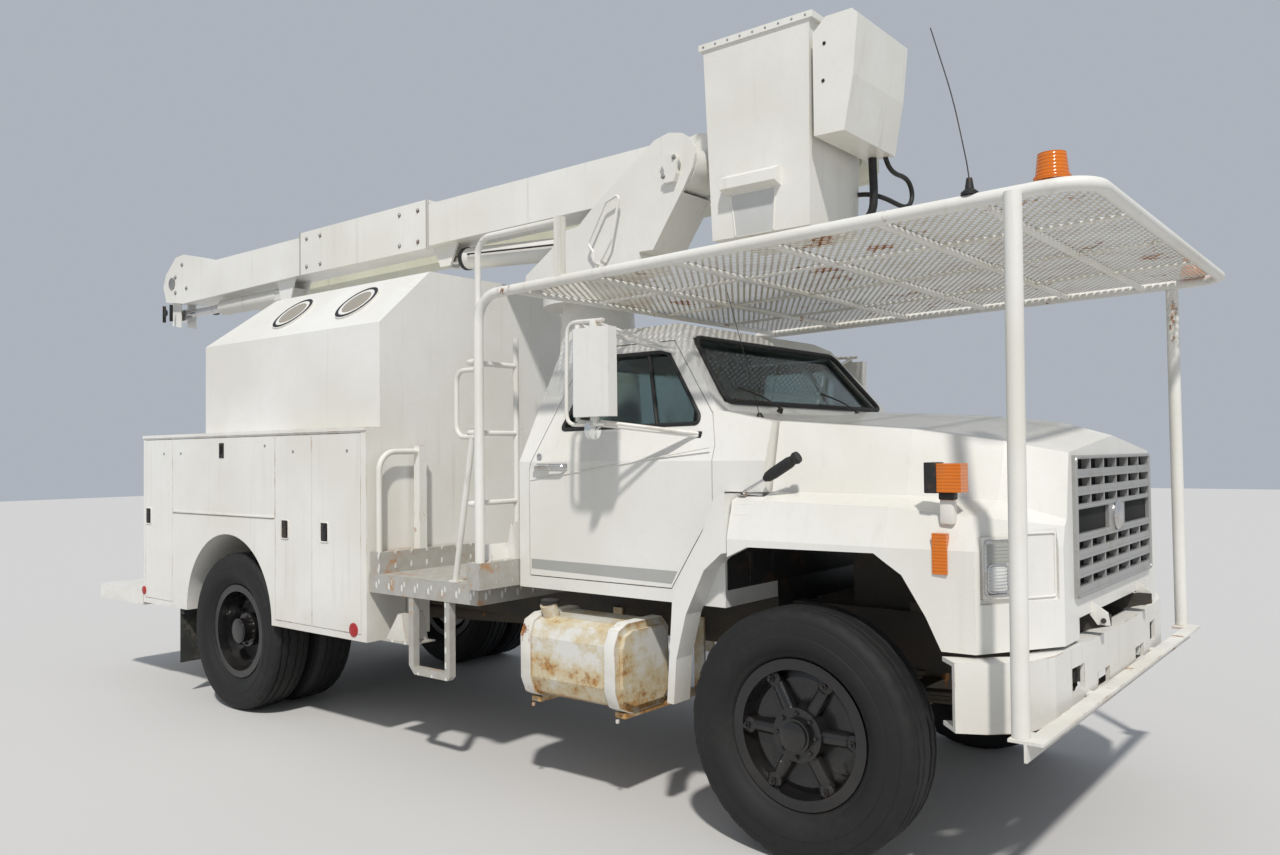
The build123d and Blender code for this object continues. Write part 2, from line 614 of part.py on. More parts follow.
arch_outline = [(front_axle_x - 720, 500), (front_axle_x - 560, 700), (front_axle_x - 470, 1000),
                (front_axle_x - 350, 1200), (front_axle_x - 200, 1270), (front_axle_x + 370, 1276),
                (front_axle_x + 480, 1200), (front_axle_x + 570, 1050), (front_axle_x + 640, 900),
                (front_axle_x + 640, 500)]
with BuildPart() as hood:
    loft(sections=hood_form(0.0), ruled=True)
    for side in (-1, 1):
        section = [(side * 1000.5, 930), (side * 1120, 930), (side * 1120, 1300), (side * 1075, 1462),
                   (side * 1030, 1477), (side * 1000.5, 1477)]
        prism_x(section, (fender_seam_x, hood_rear_x))
    with BuildPart(mode=Mode.PRIVATE) as hood_hollow:
        loft(sections=hood_form(hood_wall), ruled=True)
    add(hood_hollow.part, mode=Mode.SUBTRACT)
    block((fender_seam_x - 10, hood_rear_x + 5), (-1119 + hood_wall, 1119 - hood_wall), (900, 1440),
          mode=Mode.SUBTRACT)
    prism_y(arch_outline, (-1200, 1200), mode=Mode.SUBTRACT)
    block((3700, 3900), (-620, 620), (1090, 1640), mode=Mode.SUBTRACT)
    block((3700, 3900), (-560, 560), (900, 1010), mode=Mode.SUBTRACT)
    for side in (-1, 1):
        with Locations(headlamp_plane(side)):
            with Locations((sum(headlamp_reach) / 2, 0, 0)):
                Box(headlamp_reach[1] - headlamp_reach[0], 262, 2 * recess_depth, mode=Mode.SUBTRACT)
    for side in (-1, 1):
        prism_y([(hood_front_x - 15, 1012), (hood_front_x - 15, 1060), (hood_hinge_x + 14, 1012),
                 (hood_hinge_x + 22, 962), (hood_hinge_x - 24, 962)], (side * 371.5, side * 387))
        disc_y(hood_hinge_x, hood_hinge_z, (side * 371, side * 388), hood_pin_radius + running_gap,
               mode=Mode.SUBTRACT)
save(hood.part, "hood_front")

grille_half_width = 620.0
grille_columns = 6
grille_bar = 16.0
grille_pitch = (2 * grille_half_width - 44 + grille_bar) / grille_columns
grille_rows = (1132.0, 1202.0, 1272.0, 1450.0, 1518.0, 1586.0)
grille_band_z = (1334.0, 1430.0)
with BuildPart() as grille:
    block((hood_front_x - 20, hood_front_x + 12), (seat_gap - grille_half_width, grille_half_width - seat_gap),
          (1090 + seat_gap, 1640 - seat_gap))
    for row_z in grille_rows:
        for column in range(grille_columns):
            y = -grille_half_width + 22 + column * grille_pitch
            block((hood_front_x - 30, hood_front_x + 20), (y, y + grille_pitch - grille_bar), (row_z, row_z + 42),
                  mode=Mode.SUBTRACT)
    for y in (-grille_half_width + 22, 130.0):
        block((hood_front_x - 6, hood_front_x + 20), (y, y + grille_half_width - 152), grille_band_z,
              mode=Mode.SUBTRACT)
save(grille.part, "grille")

# Bumper: a channel whose ends sweep back
bumper_front = [(3600, -1198), (3695, -1150), (3800, -1050), (3848, -870), (3870, -420), (3876, 0), (3870, 420),
                (3848, 870), (3800, 1050), (3695, 1150), (3600, 1198)]
bumper_z = (668.0, 915.0)
bumper_wall = 16.0
with BuildPart() as bumper:
    back = [(x - bumper_wall, y * 0.986) for x, y in reversed(bumper_front)]
    prism_z(bumper_front + back, bumper_z)
    lip = [(x - 78, y * 0.93) for x, y in reversed(bumper_front)]
    for z in ((bumper_z[0], bumper_z[0] + bumper_wall), (bumper_z[1] - bumper_wall, bumper_z[1])):
        prism_z(bumper_front + lip, z)
    for y, half, low, high in ((-625, 70, 742, 838), (-310, 85, 708, 772), (310, 85, 708, 772), (625, 70, 742, 838)):
        block((3780, 3900), (y - half, y + half), (low, high), mode=Mode.SUBTRACT)
    for side in (-1, 1):
        block((rail_front_x, 3860), (side * 345, side * 361), (720, 880))
save(bumper.part, "bumper")


def body_sections(side):
    """The four compartments of one side: x range, door z range, pocket z range."""
    return ((-2484.0, -2073.0, body_door_bottom_z), (-2073.0, -745.0, drop_door_bottom_z),
            (-745.0, -342.0, body_door_bottom_z), (-342.0, 151.0, body_door_bottom_z))


door_depth = 24.0
with BuildPart() as service_body:
    for side in (-1, 1):
        block((body_rear_x, body_front_x), (side * body_inner_y, side * body_half_width),
              (body_bottom_z, body_top_z))
    block((body_rear_x, body_front_x), (-body_inner_y, body_inner_y), (body_floor_z - 30, body_floor_z))
    block((body_front_x - body_wall, body_front_x), (-body_inner_y, body_inner_y), (body_floor_z, body_top_z))
    for side in (-1, 1):
        for x0, x1, z0 in body_sections(side):
            block((x0 + 2.5, x1 - 2.5), (side * (body_half_width - door_depth - seat_gap), side * (body_half_width + 5)),
                  (z0, body_door_top_z), mode=Mode.SUBTRACT)
            block((x0 + 18, x1 - 18), (side * (body_inner_y + body_wall), side * (body_half_width + 5)),
                  (z0 + 16, body_door_top_z - 16), mode=Mode.SUBTRACT)
        disc_y(arch_x, arch_z, (side * 560, side * 1300), arch_radius, mode=Mode.SUBTRACT)
        block((arch_x - arch_radius, arch_x + arch_radius), (side * 560, side * 1300),
              (body_bottom_z - 10, arch_z), mode=Mode.SUBTRACT)
        block((box_rear_x, box_rear_x + body_wall), (side * 400, side * body_inner_y), (body_floor_z, body_top_z))
        block((body_rear_x, body_front_x), (side * body_inner_y, side * (body_half_width + body_cap_reach)),
              (body_top_z - 20, body_top_z))
    for x in (-2400.0, -900.0, -200.0):
        block((x, x + 80), (-rail_outer_y, rail_outer_y), (rail_top_z, body_floor_z - 30))
save(service_body.part, "service_body")

door_names = ("rear", "drop", "mid", "front")
for side, word in ((-1, "right"), (1, "left")):
    for name, (x0, x1, z0) in zip(door_names, body_sections(side)):
        with BuildPart() as locker_door:
            block((x0 + panel_gap, x1 - panel_gap), (side * (body_half_width - door_depth), side * body_half_width),
                  (z0 + 3, body_door_top_z - 3))
            inner_face = (side * (body_half_width - door_depth - 1), side * (body_half_width - 3))
            block((x0 + 40, x1 - 40), inner_face, (z0 + 40, body_door_top_z - 40), mode=Mode.SUBTRACT)
        save(locker_door.part, f"locker_{name}_{word}")

# Covered box: walls up to the eaves, then sloped sides and a hipped rear up to a flat top
with BuildPart() as chip_box:
    block((box_rear_x, box_front_x), (-box_half_width, box_half_width), (body_top_z, box_eave_z))
    with BuildSketch(Plane.XY.offset(box_eave_z)) as eaves:
        with Locations(((box_rear_x + box_front_x) / 2, 0)):
            Rectangle(box_front_x - box_rear_x, 2 * box_half_width)
    with BuildSketch(Plane.XY.offset(box_ridge_z)) as ridge:
        with Locations(((box_ridge_rear_x + box_front_x) / 2, 0)):
            Rectangle(box_front_x - box_ridge_rear_x, 2 * box_ridge_y)
    loft(sections=[eaves.sketch.faces()[0], ridge.sketch.faces()[0]], ruled=True)
    with BuildPart(mode=Mode.PRIVATE) as box_hollow:
        block((box_rear_x + box_wall, box_front_x - box_wall),
              (box_wall - box_half_width, box_half_width - box_wall), (body_top_z - 5, box_eave_z))
        with BuildSketch(Plane.XY.offset(box_eave_z)) as eaves_in:
            with Locations(((box_rear_x + box_front_x) / 2, 0)):
                Rectangle(box_front_x - box_rear_x - 2 * box_wall, 2 * (box_half_width - box_wall))
        with BuildSketch(Plane.XY.offset(box_ridge_z - box_wall)) as ridge_in:
            with Locations(((box_ridge_rear_x + box_front_x) / 2, 0)):
                Rectangle(box_front_x - box_ridge_rear_x - 2 * box_wall, 2 * (box_ridge_y - box_wall))
        loft(sections=[eaves_in.sketch.faces()[0], ridge_in.sketch.faces()[0]], ruled=True)
    add(box_hollow.part, mode=Mode.SUBTRACT)
    block((box_rear_x - 5, box_rear_x + box_wall + 5), (-400, 400), (body_top_z - 5, 2400), mode=Mode.SUBTRACT)
    slope_run = box_half_width - box_ridge_y
    slope_rise = box_ridge_z - box_eave_z
    normal_y = slope_rise / hypot(slope_run, slope_rise)
    normal_z = slope_run / hypot(slope_run, slope_rise)
    port_y = box_half_width - (port_z - box_eave_z) * slope_run / slope_rise
    for x in port_x:
        for side in (-1, 1):
            rod((x, side * (port_y - 6 * normal_y), port_z - 6 * normal_z),
                (x, side * (port_y + 12 * normal_y), port_z + 12 * normal_z), port_radius)
save(chip_box.part, "chip_box")

box_door_half_width = 440.0
with BuildPart() as box_door:
    block((box_rear_x - box_wall, box_rear_x - seat_gap), (-box_door_half_width, box_door_half_width),
          (body_floor_z + 6, 2420))
save(box_door.part, "box_door")

# Pedestal behind the cab, and the deck round it
pedestal_foot_radius = 320.0
pedestal_head_radius = 222.0
with BuildPart() as pedestal:
    block((turret_x - 320, turret_x + 320), (-430, 430), (rail_top_z, rail_top_z + 40))
    with BuildSketch(Plane.XY.offset(rail_top_z + 40)) as foot:
        with Locations((turret_x, 0)):
            Circle(pedestal_foot_radius)
    with BuildSketch(Plane.XY.offset(turret_base_z - 30)) as head:
        with Locations((turret_x, 0)):
            Circle(pedestal_head_radius)
    loft(sections=[foot.sketch.faces()[0], head.sketch.faces()[0]], ruled=True)
    rod((turret_x, 0, turret_base_z - 30), (turret_x, 0, turret_base_z - seat_gap), turret_ring_radius)
save(pedestal.part, "pedestal")

deck_x = (body_front_x + 6, 1118.0)
deck_top_z = 1003.0
deck_half_width = body_half_width - 15.0
skirt_bottom_z = 897.0
beam_x = (deck_x[1], 1212.0)
beam_top_z = 1125.0
ledge_top_z = 1123.0
ledge_depth = 84.0
step_x = (552.0, 890.0)
step_bottom_z = 483.0
step_bar = 40.0
with BuildPart() as deck:
    block(deck_x, (-deck_half_width, deck_half_width), (deck_top_z - 12, deck_top_z))
    block(beam_x, (-canopy_rail_y - 26, canopy_rail_y + 26), (deck_top_z - 12, beam_top_z))
    for side in (-1, 1):
        edge = side * deck_half_width
        block(deck_x, (side * (deck_half_width - 12), edge), (skirt_bottom_z, deck_top_z - 12))
        for x in (deck_x[0], deck_x[1] - 12):
            block((x, x + 12), (side * 440, side * (deck_half_width - 12)), (skirt_bottom_z, deck_top_z - 12))
        block((deck_x[0], deck_x[0] + ledge_depth), (side * 480, edge - side * 8), (deck_top_z, ledge_top_z))
        prism_y([(step_x[0], skirt_bottom_z), (step_x[0], step_bottom_z + 45), (step_x[0] + 45, step_bottom_z),
                 (step_x[1] - 20, step_bottom_z), (step_x[1], step_bottom_z + 20), (step_x[1], skirt_bottom_z)],
                (edge - side * 4, edge - side * (4 + step_bar)))
        block((deck_x[0] + 12, deck_x[1] - 12), (side * 431, side * 448), (900, deck_top_z - 12))
    for side in (-1, 1):
        block((step_x[0] + step_bar, step_x[1] - step_bar),
              (side * (deck_half_width - 200), side * (deck_half_width + 100)),
              (step_bottom_z + step_bar, skirt_bottom_z - 0.1), mode=Mode.SUBTRACT)
    with BuildSketch(Plane.XY.offset(deck_top_z - 60)) as pedestal_hole:
        with Locations((turret_x, 0)):
            Circle(pedestal_foot_radius + 6)
    extrude(to_extrude=pedestal_hole.sketch, amount=200, mode=Mode.SUBTRACT)
save(deck.part, "deck")

# Access ladder, grab bar and rails on the right side
ladder_y = -canopy_rail_y
deck_edge_y = -deck_half_width
rung_z = (1420.0, 1780.0, 2140.0)
rail_rear_top_z = 2760.0
with BuildPart() as side_ladder:
    post_x = canopy_rear_post_x
    post_face = post_x - canopy_rail_radius - 0.4
    deck_face = deck_top_z + 0.3
    block((890, 960), (deck_edge_y + 1, deck_edge_y + 50), (deck_face, deck_face + 10))
    rod((925, deck_edge_y + 18, deck_face + 6), (1140, ladder_y, 1760), 16)
    block((1085, 1117), (-925, -885), (deck_face, deck_face + 10))
    rod((1101, -905, deck_face + 5), (1101, -905, 2290), 16)
    for z in rung_z:
        bent_tube([(1101, -905, z), (1101, ladder_y, z), (post_face, ladder_y, z)], 14, 30)
    bent_tube([(post_face, ladder_y, 2100), (1020, ladder_y, 2100), (1020, ladder_y, 1760),
               (post_face, ladder_y, 1760)], 13, 60)
    grab_x = deck_x[0] + 56
    grab_foot_z = ledge_top_z + 0.3
    grab_y = deck_edge_y + 28
    bent_tube([(grab_x, grab_y, grab_foot_z), (grab_x, grab_y, 1692), (grab_x, grab_y + 292, 1692)], 17, 110)
    block((grab_x - 26, grab_x + 26), (grab_y + 266, grab_y + 320), (grab_foot_z, 1728))
save(side_ladder.part, "side_ladder")

# Canopy frame: guard posts and crossbar in front, side rails, cross tubes, and posts behind the cab


def rail_z(x):
    """Height of the canopy's side rail at one place along the truck."""
    share = (x - canopy_rear_post_x) / (canopy_front_x - canopy_rear_post_x)
    return canopy_rear_z + share * (canopy_front_z - canopy_rear_z)


cross_tube_x = (1420.0, 1900.0, 2380.0, 2860.0, 3340.0, 3720.0)
post_foot_y = (canopy_post_y - 85.0, canopy_post_y + 42.0)
crossbar_half = post_foot_y[1]
crossbar_z = (652.0, 722.0)
crossbar_plate = 10.0
with BuildPart() as canopy_frame:
    for side in (-1, 1):
        rail_y = side * canopy_rail_y
        bent_tube([(canopy_rear_post_x, rail_y, beam_top_z + seat_gap), (canopy_rear_post_x, rail_y, canopy_rear_z),
                   (canopy_front_x, rail_y, canopy_front_z), (canopy_front_x, 0, canopy_front_z)],
                  canopy_rail_radius, 140)
        rod((canopy_post_x, side * canopy_post_y, crossbar_z[1]),
            (canopy_post_x, side * (canopy_rail_y + 20), rail_z(3860)), canopy_post_radius)
        block((3830, 3945), (side * post_foot_y[0], side * post_foot_y[1]),
              (crossbar_z[1] - crossbar_plate, crossbar_z[1]))
        block((3866.5, 3890), (side * 500, side * 560), (crossbar_z[1] - crossbar_plate + 2, crossbar_z[1]))
    block((3882, 3945), (-crossbar_half, crossbar_half), (crossbar_z[1] - crossbar_plate, crossbar_z[1]))
    block((3882, 3892), (-crossbar_half, crossbar_half), (crossbar_z[0], crossbar_z[1] - crossbar_plate))
    for x in cross_tube_x:
        rod((x, -canopy_rail_y, rail_z(x)), (x, canopy_rail_y, rail_z(x)), 15)
    for y in (-620.0, 0.0, 620.0):
        rod((cross_tube_x[0], y, rail_z(cross_tube_x[0])), (canopy_front_x, y, rail_z(canopy_front_x)), 8)
    bent_tube([(post_x - 2, -canopy_rail_y, rail_z(1190) - 60), (post_x - 2, -canopy_rail_y, rail_rear_top_z),
               (1740, -canopy_rail_y, rail_rear_top_z + 4)], 16, 90)
    block((1738, 1778), (-canopy_rail_y - 20, -canopy_rail_y + 20), (rail_z(1758), rail_rear_top_z + 24))
save(canopy_frame.part, "canopy_frame")

with BuildPart() as canopy_mesh:
    x0, x1 = cross_tube_x[0], canopy_front_x - 30
    y1 = canopy_rail_y - 30
    prism_y([(x0, rail_z(x0) + 15.3), (x1, rail_z(x1) + 15.3), (x1, rail_z(x1) + 18.3), (x0, rail_z(x0) + 18.3)],
            (-y1, y1))
    for side in (-1, 1):
        prism_z([(x1 + 1, side * (y1 + 1)), (x1 - 80, side * (y1 + 1)), (x1 + 1, side * (y1 - 80))],
                (canopy_rear_z, canopy_front_z + 100), mode=Mode.SUBTRACT)
save(canopy_mesh.part, "canopy_mesh")

with BuildPart() as beacons:
    for side in (-1, 1):
        x, y = 3970.0, side * 1205.0
        z = rail_z(x + 60) + canopy_rail_radius + 0.6
        rod((x, y, z), (x, y, z + 14), 60)
        with BuildSketch(Plane.XY.offset(z + 14)) as lens_foot:
            with Locations((x, y)):
                Circle(54)
        extrude(to_extrude=lens_foot.sketch, amount=78, taper=6)
save(beacons.part, "beacons")

# Lamps on the tilting front: headlamps in their recesses, turn lamps on feet and side reflectors
with BuildPart() as front_lamps:
    for side in (-1, 1):
        block((3468, 3603), (side * 1040, side * 1112), (1512, 1618))
        block((3512, 3560), (side * 1046, side * 1080), (1400, 1513))
        block((3490, 3545), (side * 1085, side * 1113), (1212, 1362))
        with Locations(headlamp_plane(side)):
            with Locations((headlamp_reach[0] + 78, 0, -recess_depth / 2)):
                Box(128, 222, recess_depth)
    add(hood.part, mode=Mode.SUBTRACT)
save(front_lamps.part, "front_lamps")

with BuildPart() as tail_lamps:
    for side in (-1, 1):
        for z in (760.0, 900.0):
            with BuildSketch(Plane.YZ.offset(body_rear_x - 26)) as lens:
                with Locations((side * 990, z)):
                    Circle(55)
            extrude(to_extrude=lens.sketch, amount=25.7)
save(tail_lamps.part, "tail_lamps")

with BuildPart() as mud_flaps:
    flap_x = rear_axle_x - 690.0
    for side in (-1, 1):
        outer_y = side * (body_half_width - 15)
        block((flap_x, flap_x + 10), (side * 600, outer_y), (230, body_bottom_z - 0.5))
        block((flap_x + 10.5, flap_x + 50), (side * (rail_outer_y + 10), outer_y),
              (body_bottom_z - 40, body_bottom_z - 0.5))
save(mud_flaps.part, "mud_flaps")

# Turret: ring, base drum, two side plates, the front plate and the cylinder's pin
head_x, head_z = lower_pivot_x, lower_pivot_z
plate_rear_x = 590.0
plate_foot_x = 1492.0
notch_z = box_ridge_z + 8.0
plate_outline = [(plate_rear_x, turret_plate_bottom_z), (plate_foot_x, turret_plate_bottom_z),
                 (plate_foot_x, notch_z), (1590, notch_z), (head_x - 10, head_z - 237), (head_x + 67, head_z - 127), (head_x + 125, head_z - 30),
                 (head_x + 144, head_z + 43), (head_x + 140, head_z + 82), (head_x + 104, head_z + 139),
                 (head_x + 53, head_z + 172), (head_x - 33, head_z + 190), (head_x - 131, head_z + 169),
                 (1136, head_z - 140), (1035, head_z - 222), (934, head_z - 232), (817, head_z - 326),
                 (plate_rear_x + 4, turret_plate_bottom_z + 66)]
turret_right_y = (-323.0, -305.5)
turret_left_y = (-54.5, -37.0)
left_plate_rise = 62.0
boom_pin_radius = 50.0
with BuildPart() as turret:
    rod((turret_x, 0, turret_base_z), (turret_x, 0, turret_plate_bottom_z + 16), turret_ring_radius)
    prism_y(plate_outline, turret_right_y)
    prism_y([(x, z + left_plate_rise if z > head_z + 80 else z) for x, z in plate_outline], turret_left_y)
    block((plate_rear_x, plate_foot_x), (turret_right_y[0], turret_left_y[1]),
          (turret_plate_bottom_z, turret_plate_bottom_z + 16))
    disc_y(head_x, head_z, (turret_right_y[0] - 3, turret_left_y[1] + 14), boom_pin_radius)
    prism_y([(head_x - 52, head_z - 92), (head_x + 22, head_z - 92), (head_x + 38, head_z - 50),
             (head_x + 40, head_z + 40), (head_x + 8, head_z + 60), (head_x - 58, head_z + 58),
             (head_x - 72, head_z + 34), (head_x - 44, head_z - 22)], (turret_right_y[0] - 30, turret_right_y[0]))
    disc_y(lift_base[0], lift_base[1], (turret_right_y[0], turret_left_y[1]), cylinder_pin_radius)
    handle_y = turret_right_y[0] - 42
    handle_in = turret_right_y[0] + 6
    foot_z = turret_plate_bottom_z + 62
    bent_tube([(1187, handle_in, foot_z), (1187, handle_y, foot_z), (1187, handle_y, foot_z + 66),
               (1145, handle_y, foot_z + 118), (1283, handle_y, foot_z + 336), (1392, handle_y, foot_z + 372),
               (1326, handle_y, foot_z + 120), (1240, handle_y, foot_z), (1240, handle_in, foot_z)], 8, 22)
    prism_y([(plate_foot_x - 14, turret_plate_bottom_z), (plate_foot_x, turret_plate_bottom_z),
             (plate_foot_x, notch_z), (1592, notch_z), (1784, head_z - 146), (1766, head_z - 138),
             (1582, notch_z + 14), (plate_foot_x - 14, notch_z + 14)], (turret_right_y[1], turret_left_y[0]))
save(turret.part, "turret")

# Lower boom: box beam with a root hub, a bolted sleeve, the elbow's rounded end and its shaft
boom_y = (boom_right_y, boom_right_y + lower_boom_width)
sleeve_x = (-1890.0, -366.0)
eye_half = 30.0
with BuildPart() as lower_boom:
    prism_y([(elbow_x + 200, lower_boom_bottom_z - 30), (sleeve_x[0], lower_boom_bottom_z),
             (lower_pivot_x - 60, lower_boom_bottom_z + 30), (lower_pivot_x, lower_pivot_z + 120),
             (lower_pivot_x - 120, lower_boom_top_z), (elbow_x + 700, lower_boom_top_z - 20),
             (elbow_x + 470, elbow_z + 172), (elbow_x + 205, elbow_z + 238), (elbow_x + 60, elbow_z + 228),
             (elbow_x - 124, elbow_z + 90), (elbow_x - elbow_end_radius, elbow_z - 20),
             (elbow_x - 110, elbow_z - 162)], boom_y)
    prism_y([(elbow_x + 400, lower_boom_bottom_z - 16), (sleeve_x[0], lower_boom_bottom_z + 12),
             (lower_pivot_x - 300, lower_boom_bottom_z + 36), (lower_pivot_x - 300, lower_boom_top_z - 12),
             (elbow_x + 400, lower_boom_top_z - 24)], (boom_y[0] + 12, boom_y[1] - 12), mode=Mode.SUBTRACT)
    disc_y(lower_pivot_x, lower_pivot_z, boom_y, 130)
    disc_y(lower_pivot_x, lower_pivot_z, (boom_y[0] - 5, boom_y[1] + 5), boom_pin_radius + running_gap,
           mode=Mode.SUBTRACT)
    prism_y([(sleeve_x[0], lower_boom_bottom_z - 4), (sleeve_x[1], lower_boom_bottom_z - 4),
             (sleeve_x[1], lower_boom_top_z + 22), (sleeve_x[0], lower_boom_top_z + 16)],
            (boom_y[0] - 10, boom_y[0]))
    prism_y([(sleeve_x[0], lower_boom_top_z - 2), (sleeve_x[1], lower_boom_top_z - 2),
             (sleeve_x[1], lower_boom_top_z + 22), (sleeve_x[0], lower_boom_top_z + 16)], boom_y)
    for y in ((lift_y - 74, lift_y - 62), (lift_y + 62, lift_y + 74)):
        prism_y([(elbow_x - 90, elbow_z - 120), (elbow_x - 90, elbow_z - 375), (elbow_x + 60, elbow_z - 400),
                 (elbow_x + 60, elbow_z - 120)], y)
    disc_y(elbow_x, elbow_z, (boom_y[1], upper_boom_y[1] + 20), elbow_shaft_radius)
    disc_y(elbow_x, elbow_z, (upper_boom_y[1] + 20, upper_boom_y[1] + 34), elbow_shaft_radius + 25)
    for y in ((lift_y - 60, lift_y - 44), (lift_y + 44, lift_y + 60)):
        prism_y([(lift_eye[0] - 130, lower_boom_bottom_z + 20), (lift_eye[0] - 50, lift_eye[1] - 48),
                 (lift_eye[0] + 50, lift_eye[1] - 48), (lift_eye[0] + 130, lower_boom_bottom_z + 24)], y)
    for y in ((lift_y - 75, lift_y - 63), (lift_y + 63, lift_y + 75)):
        prism_y([(-2310, lower_boom_bottom_z + 4), (-2250, lower_boom_bottom_z - 153),
                 (-2110, lower_boom_bottom_z - 153), (-2050, lower_boom_bottom_z + 4)], y)
save(lower_boom.part, "lower_boom")


def along(start, end, distance):
    """A point on the line from start towards end, given as (x, z) pairs."""
    length = hypot(end[0] - start[0], end[1] - start[1])
    share = distance / length
    return (start[0] + share * (end[0] - start[0]), start[1] + share * (end[1] - start[1]))


def at_y(point, y):
    """An (x, z) pair as a point in space."""
    return (point[0], y, point[1])


# Lift cylinder: barrel with its base eye, and the rod with its end eye
lift_barrel_end = 1310.0
barrel_wall_gap = 0.05
with BuildPart() as lift_barrel:
    rod(at_y(along(lift_base, lift_eye, 40), lift_y), at_y(along(lift_base, lift_eye, lift_barrel_end), lift_y),
        lift_barrel_radius)
    disc_y(lift_base[0], lift_base[1], (lift_y - 42, lift_y + 42), 58)
    disc_y(lift_base[0], lift_base[1], (lift_y - 50, lift_y + 50), cylinder_pin_radius + running_gap,
           mode=Mode.SUBTRACT)
    rod(at_y(along(lift_base, lift_eye, 90), lift_y), at_y(along(lift_base, lift_eye, lift_barrel_end + 5), lift_y),
        lift_rod_radius + barrel_wall_gap, mode=Mode.SUBTRACT)
save(lift_barrel.part, "lift_barrel")

with BuildPart() as lift_rod:
    rod(at_y(along(lift_base, lift_eye, 95), lift_y), at_y(lift_eye, lift_y), lift_rod_radius)
    disc_y(lift_eye[0], lift_eye[1], (lift_y - 38, lift_y + 38), 45)
save(lift_rod.part, "lift_rod")

# Elbow cylinder under the boom's rear end: barrel on two hanger plates, rod with a yoke at the elbow
elbow_cyl_z = lower_boom_bottom_z - 103.0
elbow_travel = 310.0
elbow_barrel_x = (-2360.0, -3260.0)
elbow_rod_end_x = -3990.0
with BuildPart() as elbow_barrel:
    rod((elbow_barrel_x[1], lift_y, elbow_cyl_z), (elbow_barrel_x[0], lift_y, elbow_cyl_z), 68)
    block((elbow_barrel_x[0] - 20, -2120), (lift_y - 62.7, lift_y + 62.7), (elbow_cyl_z - 40, elbow_cyl_z + 40))
    rod((elbow_barrel_x[1] - 1, lift_y, elbow_cyl_z), (elbow_barrel_x[0] - 60, lift_y, elbow_cyl_z),
        lift_rod_radius + barrel_wall_gap, mode=Mode.SUBTRACT)
save(elbow_barrel.part, "elbow_barrel")

with BuildPart() as elbow_rod:
    rod((elbow_rod_end_x, lift_y, elbow_cyl_z), (elbow_barrel_x[0] - elbow_travel - 80, lift_y, elbow_cyl_z),
        lift_rod_radius)
    block((elbow_rod_end_x - 60, elbow_rod_end_x + 130), (lift_y - 42, lift_y + 42),
          (elbow_cyl_z - 60, elbow_cyl_z + 38))
save(elbow_rod.part, "elbow_rod")

# Elbow link: the levelling hub between the two booms, with its short arm
link_y = (boom_y[1] + 0.5, upper_boom_y[0] - 15)
with BuildPart() as elbow_link:
    disc_y(elbow_x, elbow_z, link_y, 105)
    prism_y([(elbow_x - 50, elbow_z), (elbow_x - 30, elbow_z - 240), (elbow_x + 30, elbow_z - 240),
             (elbow_x + 50, elbow_z)], (100, 130))
    disc_y(elbow_x, elbow_z, (link_y[0] - 5, link_y[1] + 5), elbow_shaft_radius + running_gap, mode=Mode.SUBTRACT)
save(elbow_link.part, "elbow_link")

# Upper boom: tapered box beam beside the lower boom, from the elbow's hub to the bucket's shaft
with BuildPart() as upper_boom:
    tip_x = bucket_pivot_x + 130
    prism_y([(elbow_x, upper_boom_z[0] - 20), (tip_x - 60, upper_boom_z[0] + 22), (tip_x, upper_boom_z[0] + 80),
             (tip_x, upper_boom_z[1] - 80), (tip_x - 60, upper_boom_z[1] - 22), (elbow_x, upper_boom_z[1])],
            upper_boom_y)
    prism_y([(elbow_x + 250, upper_boom_z[0] - 6), (tip_x - 330, upper_boom_z[0] + 32),
             (tip_x - 330, upper_boom_z[1] - 34), (elbow_x + 250, upper_boom_z[1] - 12)],
            (upper_boom_y[0] + 12, upper_boom_y[1] - 12), mode=Mode.SUBTRACT)
    disc_y(elbow_x, elbow_z, (upper_boom_y[0] - 14.5, upper_boom_y[1] + 19.5), upper_hub_radius)
    disc_y(elbow_x, elbow_z, (upper_boom_y[0] - 20, upper_boom_y[1] + 30), elbow_shaft_radius + running_gap,
           mode=Mode.SUBTRACT)
    disc_y(bucket_pivot_x, bucket_pivot_z, (upper_boom_y[0] - 5, upper_boom_y[1] + 5),
           bucket_shaft_radius + running_gap, mode=Mode.SUBTRACT)
save(upper_boom.part, "upper_boom")

# Bucket: tapered open box with a rolled rim, a step pocket and its shaft plate


def bucket_form(taper, bottom_z, top_z, shrink):
    """Bottom and top faces of the bucket's form, taken in by a wall."""
    faces = []
    for z, inward in ((bottom_z, taper + shrink), (top_z, shrink)):
        with BuildSketch(Plane.XY.offset(z)) as ring:
            with Locations(((bucket_x[0] + bucket_x[1]) / 2, (bucket_y[0] + bucket_y[1]) / 2)):
                Rectangle(bucket_x[1] - bucket_x[0] - 2 * inward, bucket_y[1] - bucket_y[0] - 2 * inward)
        faces.append(ring.sketch.faces()[0])
    return faces


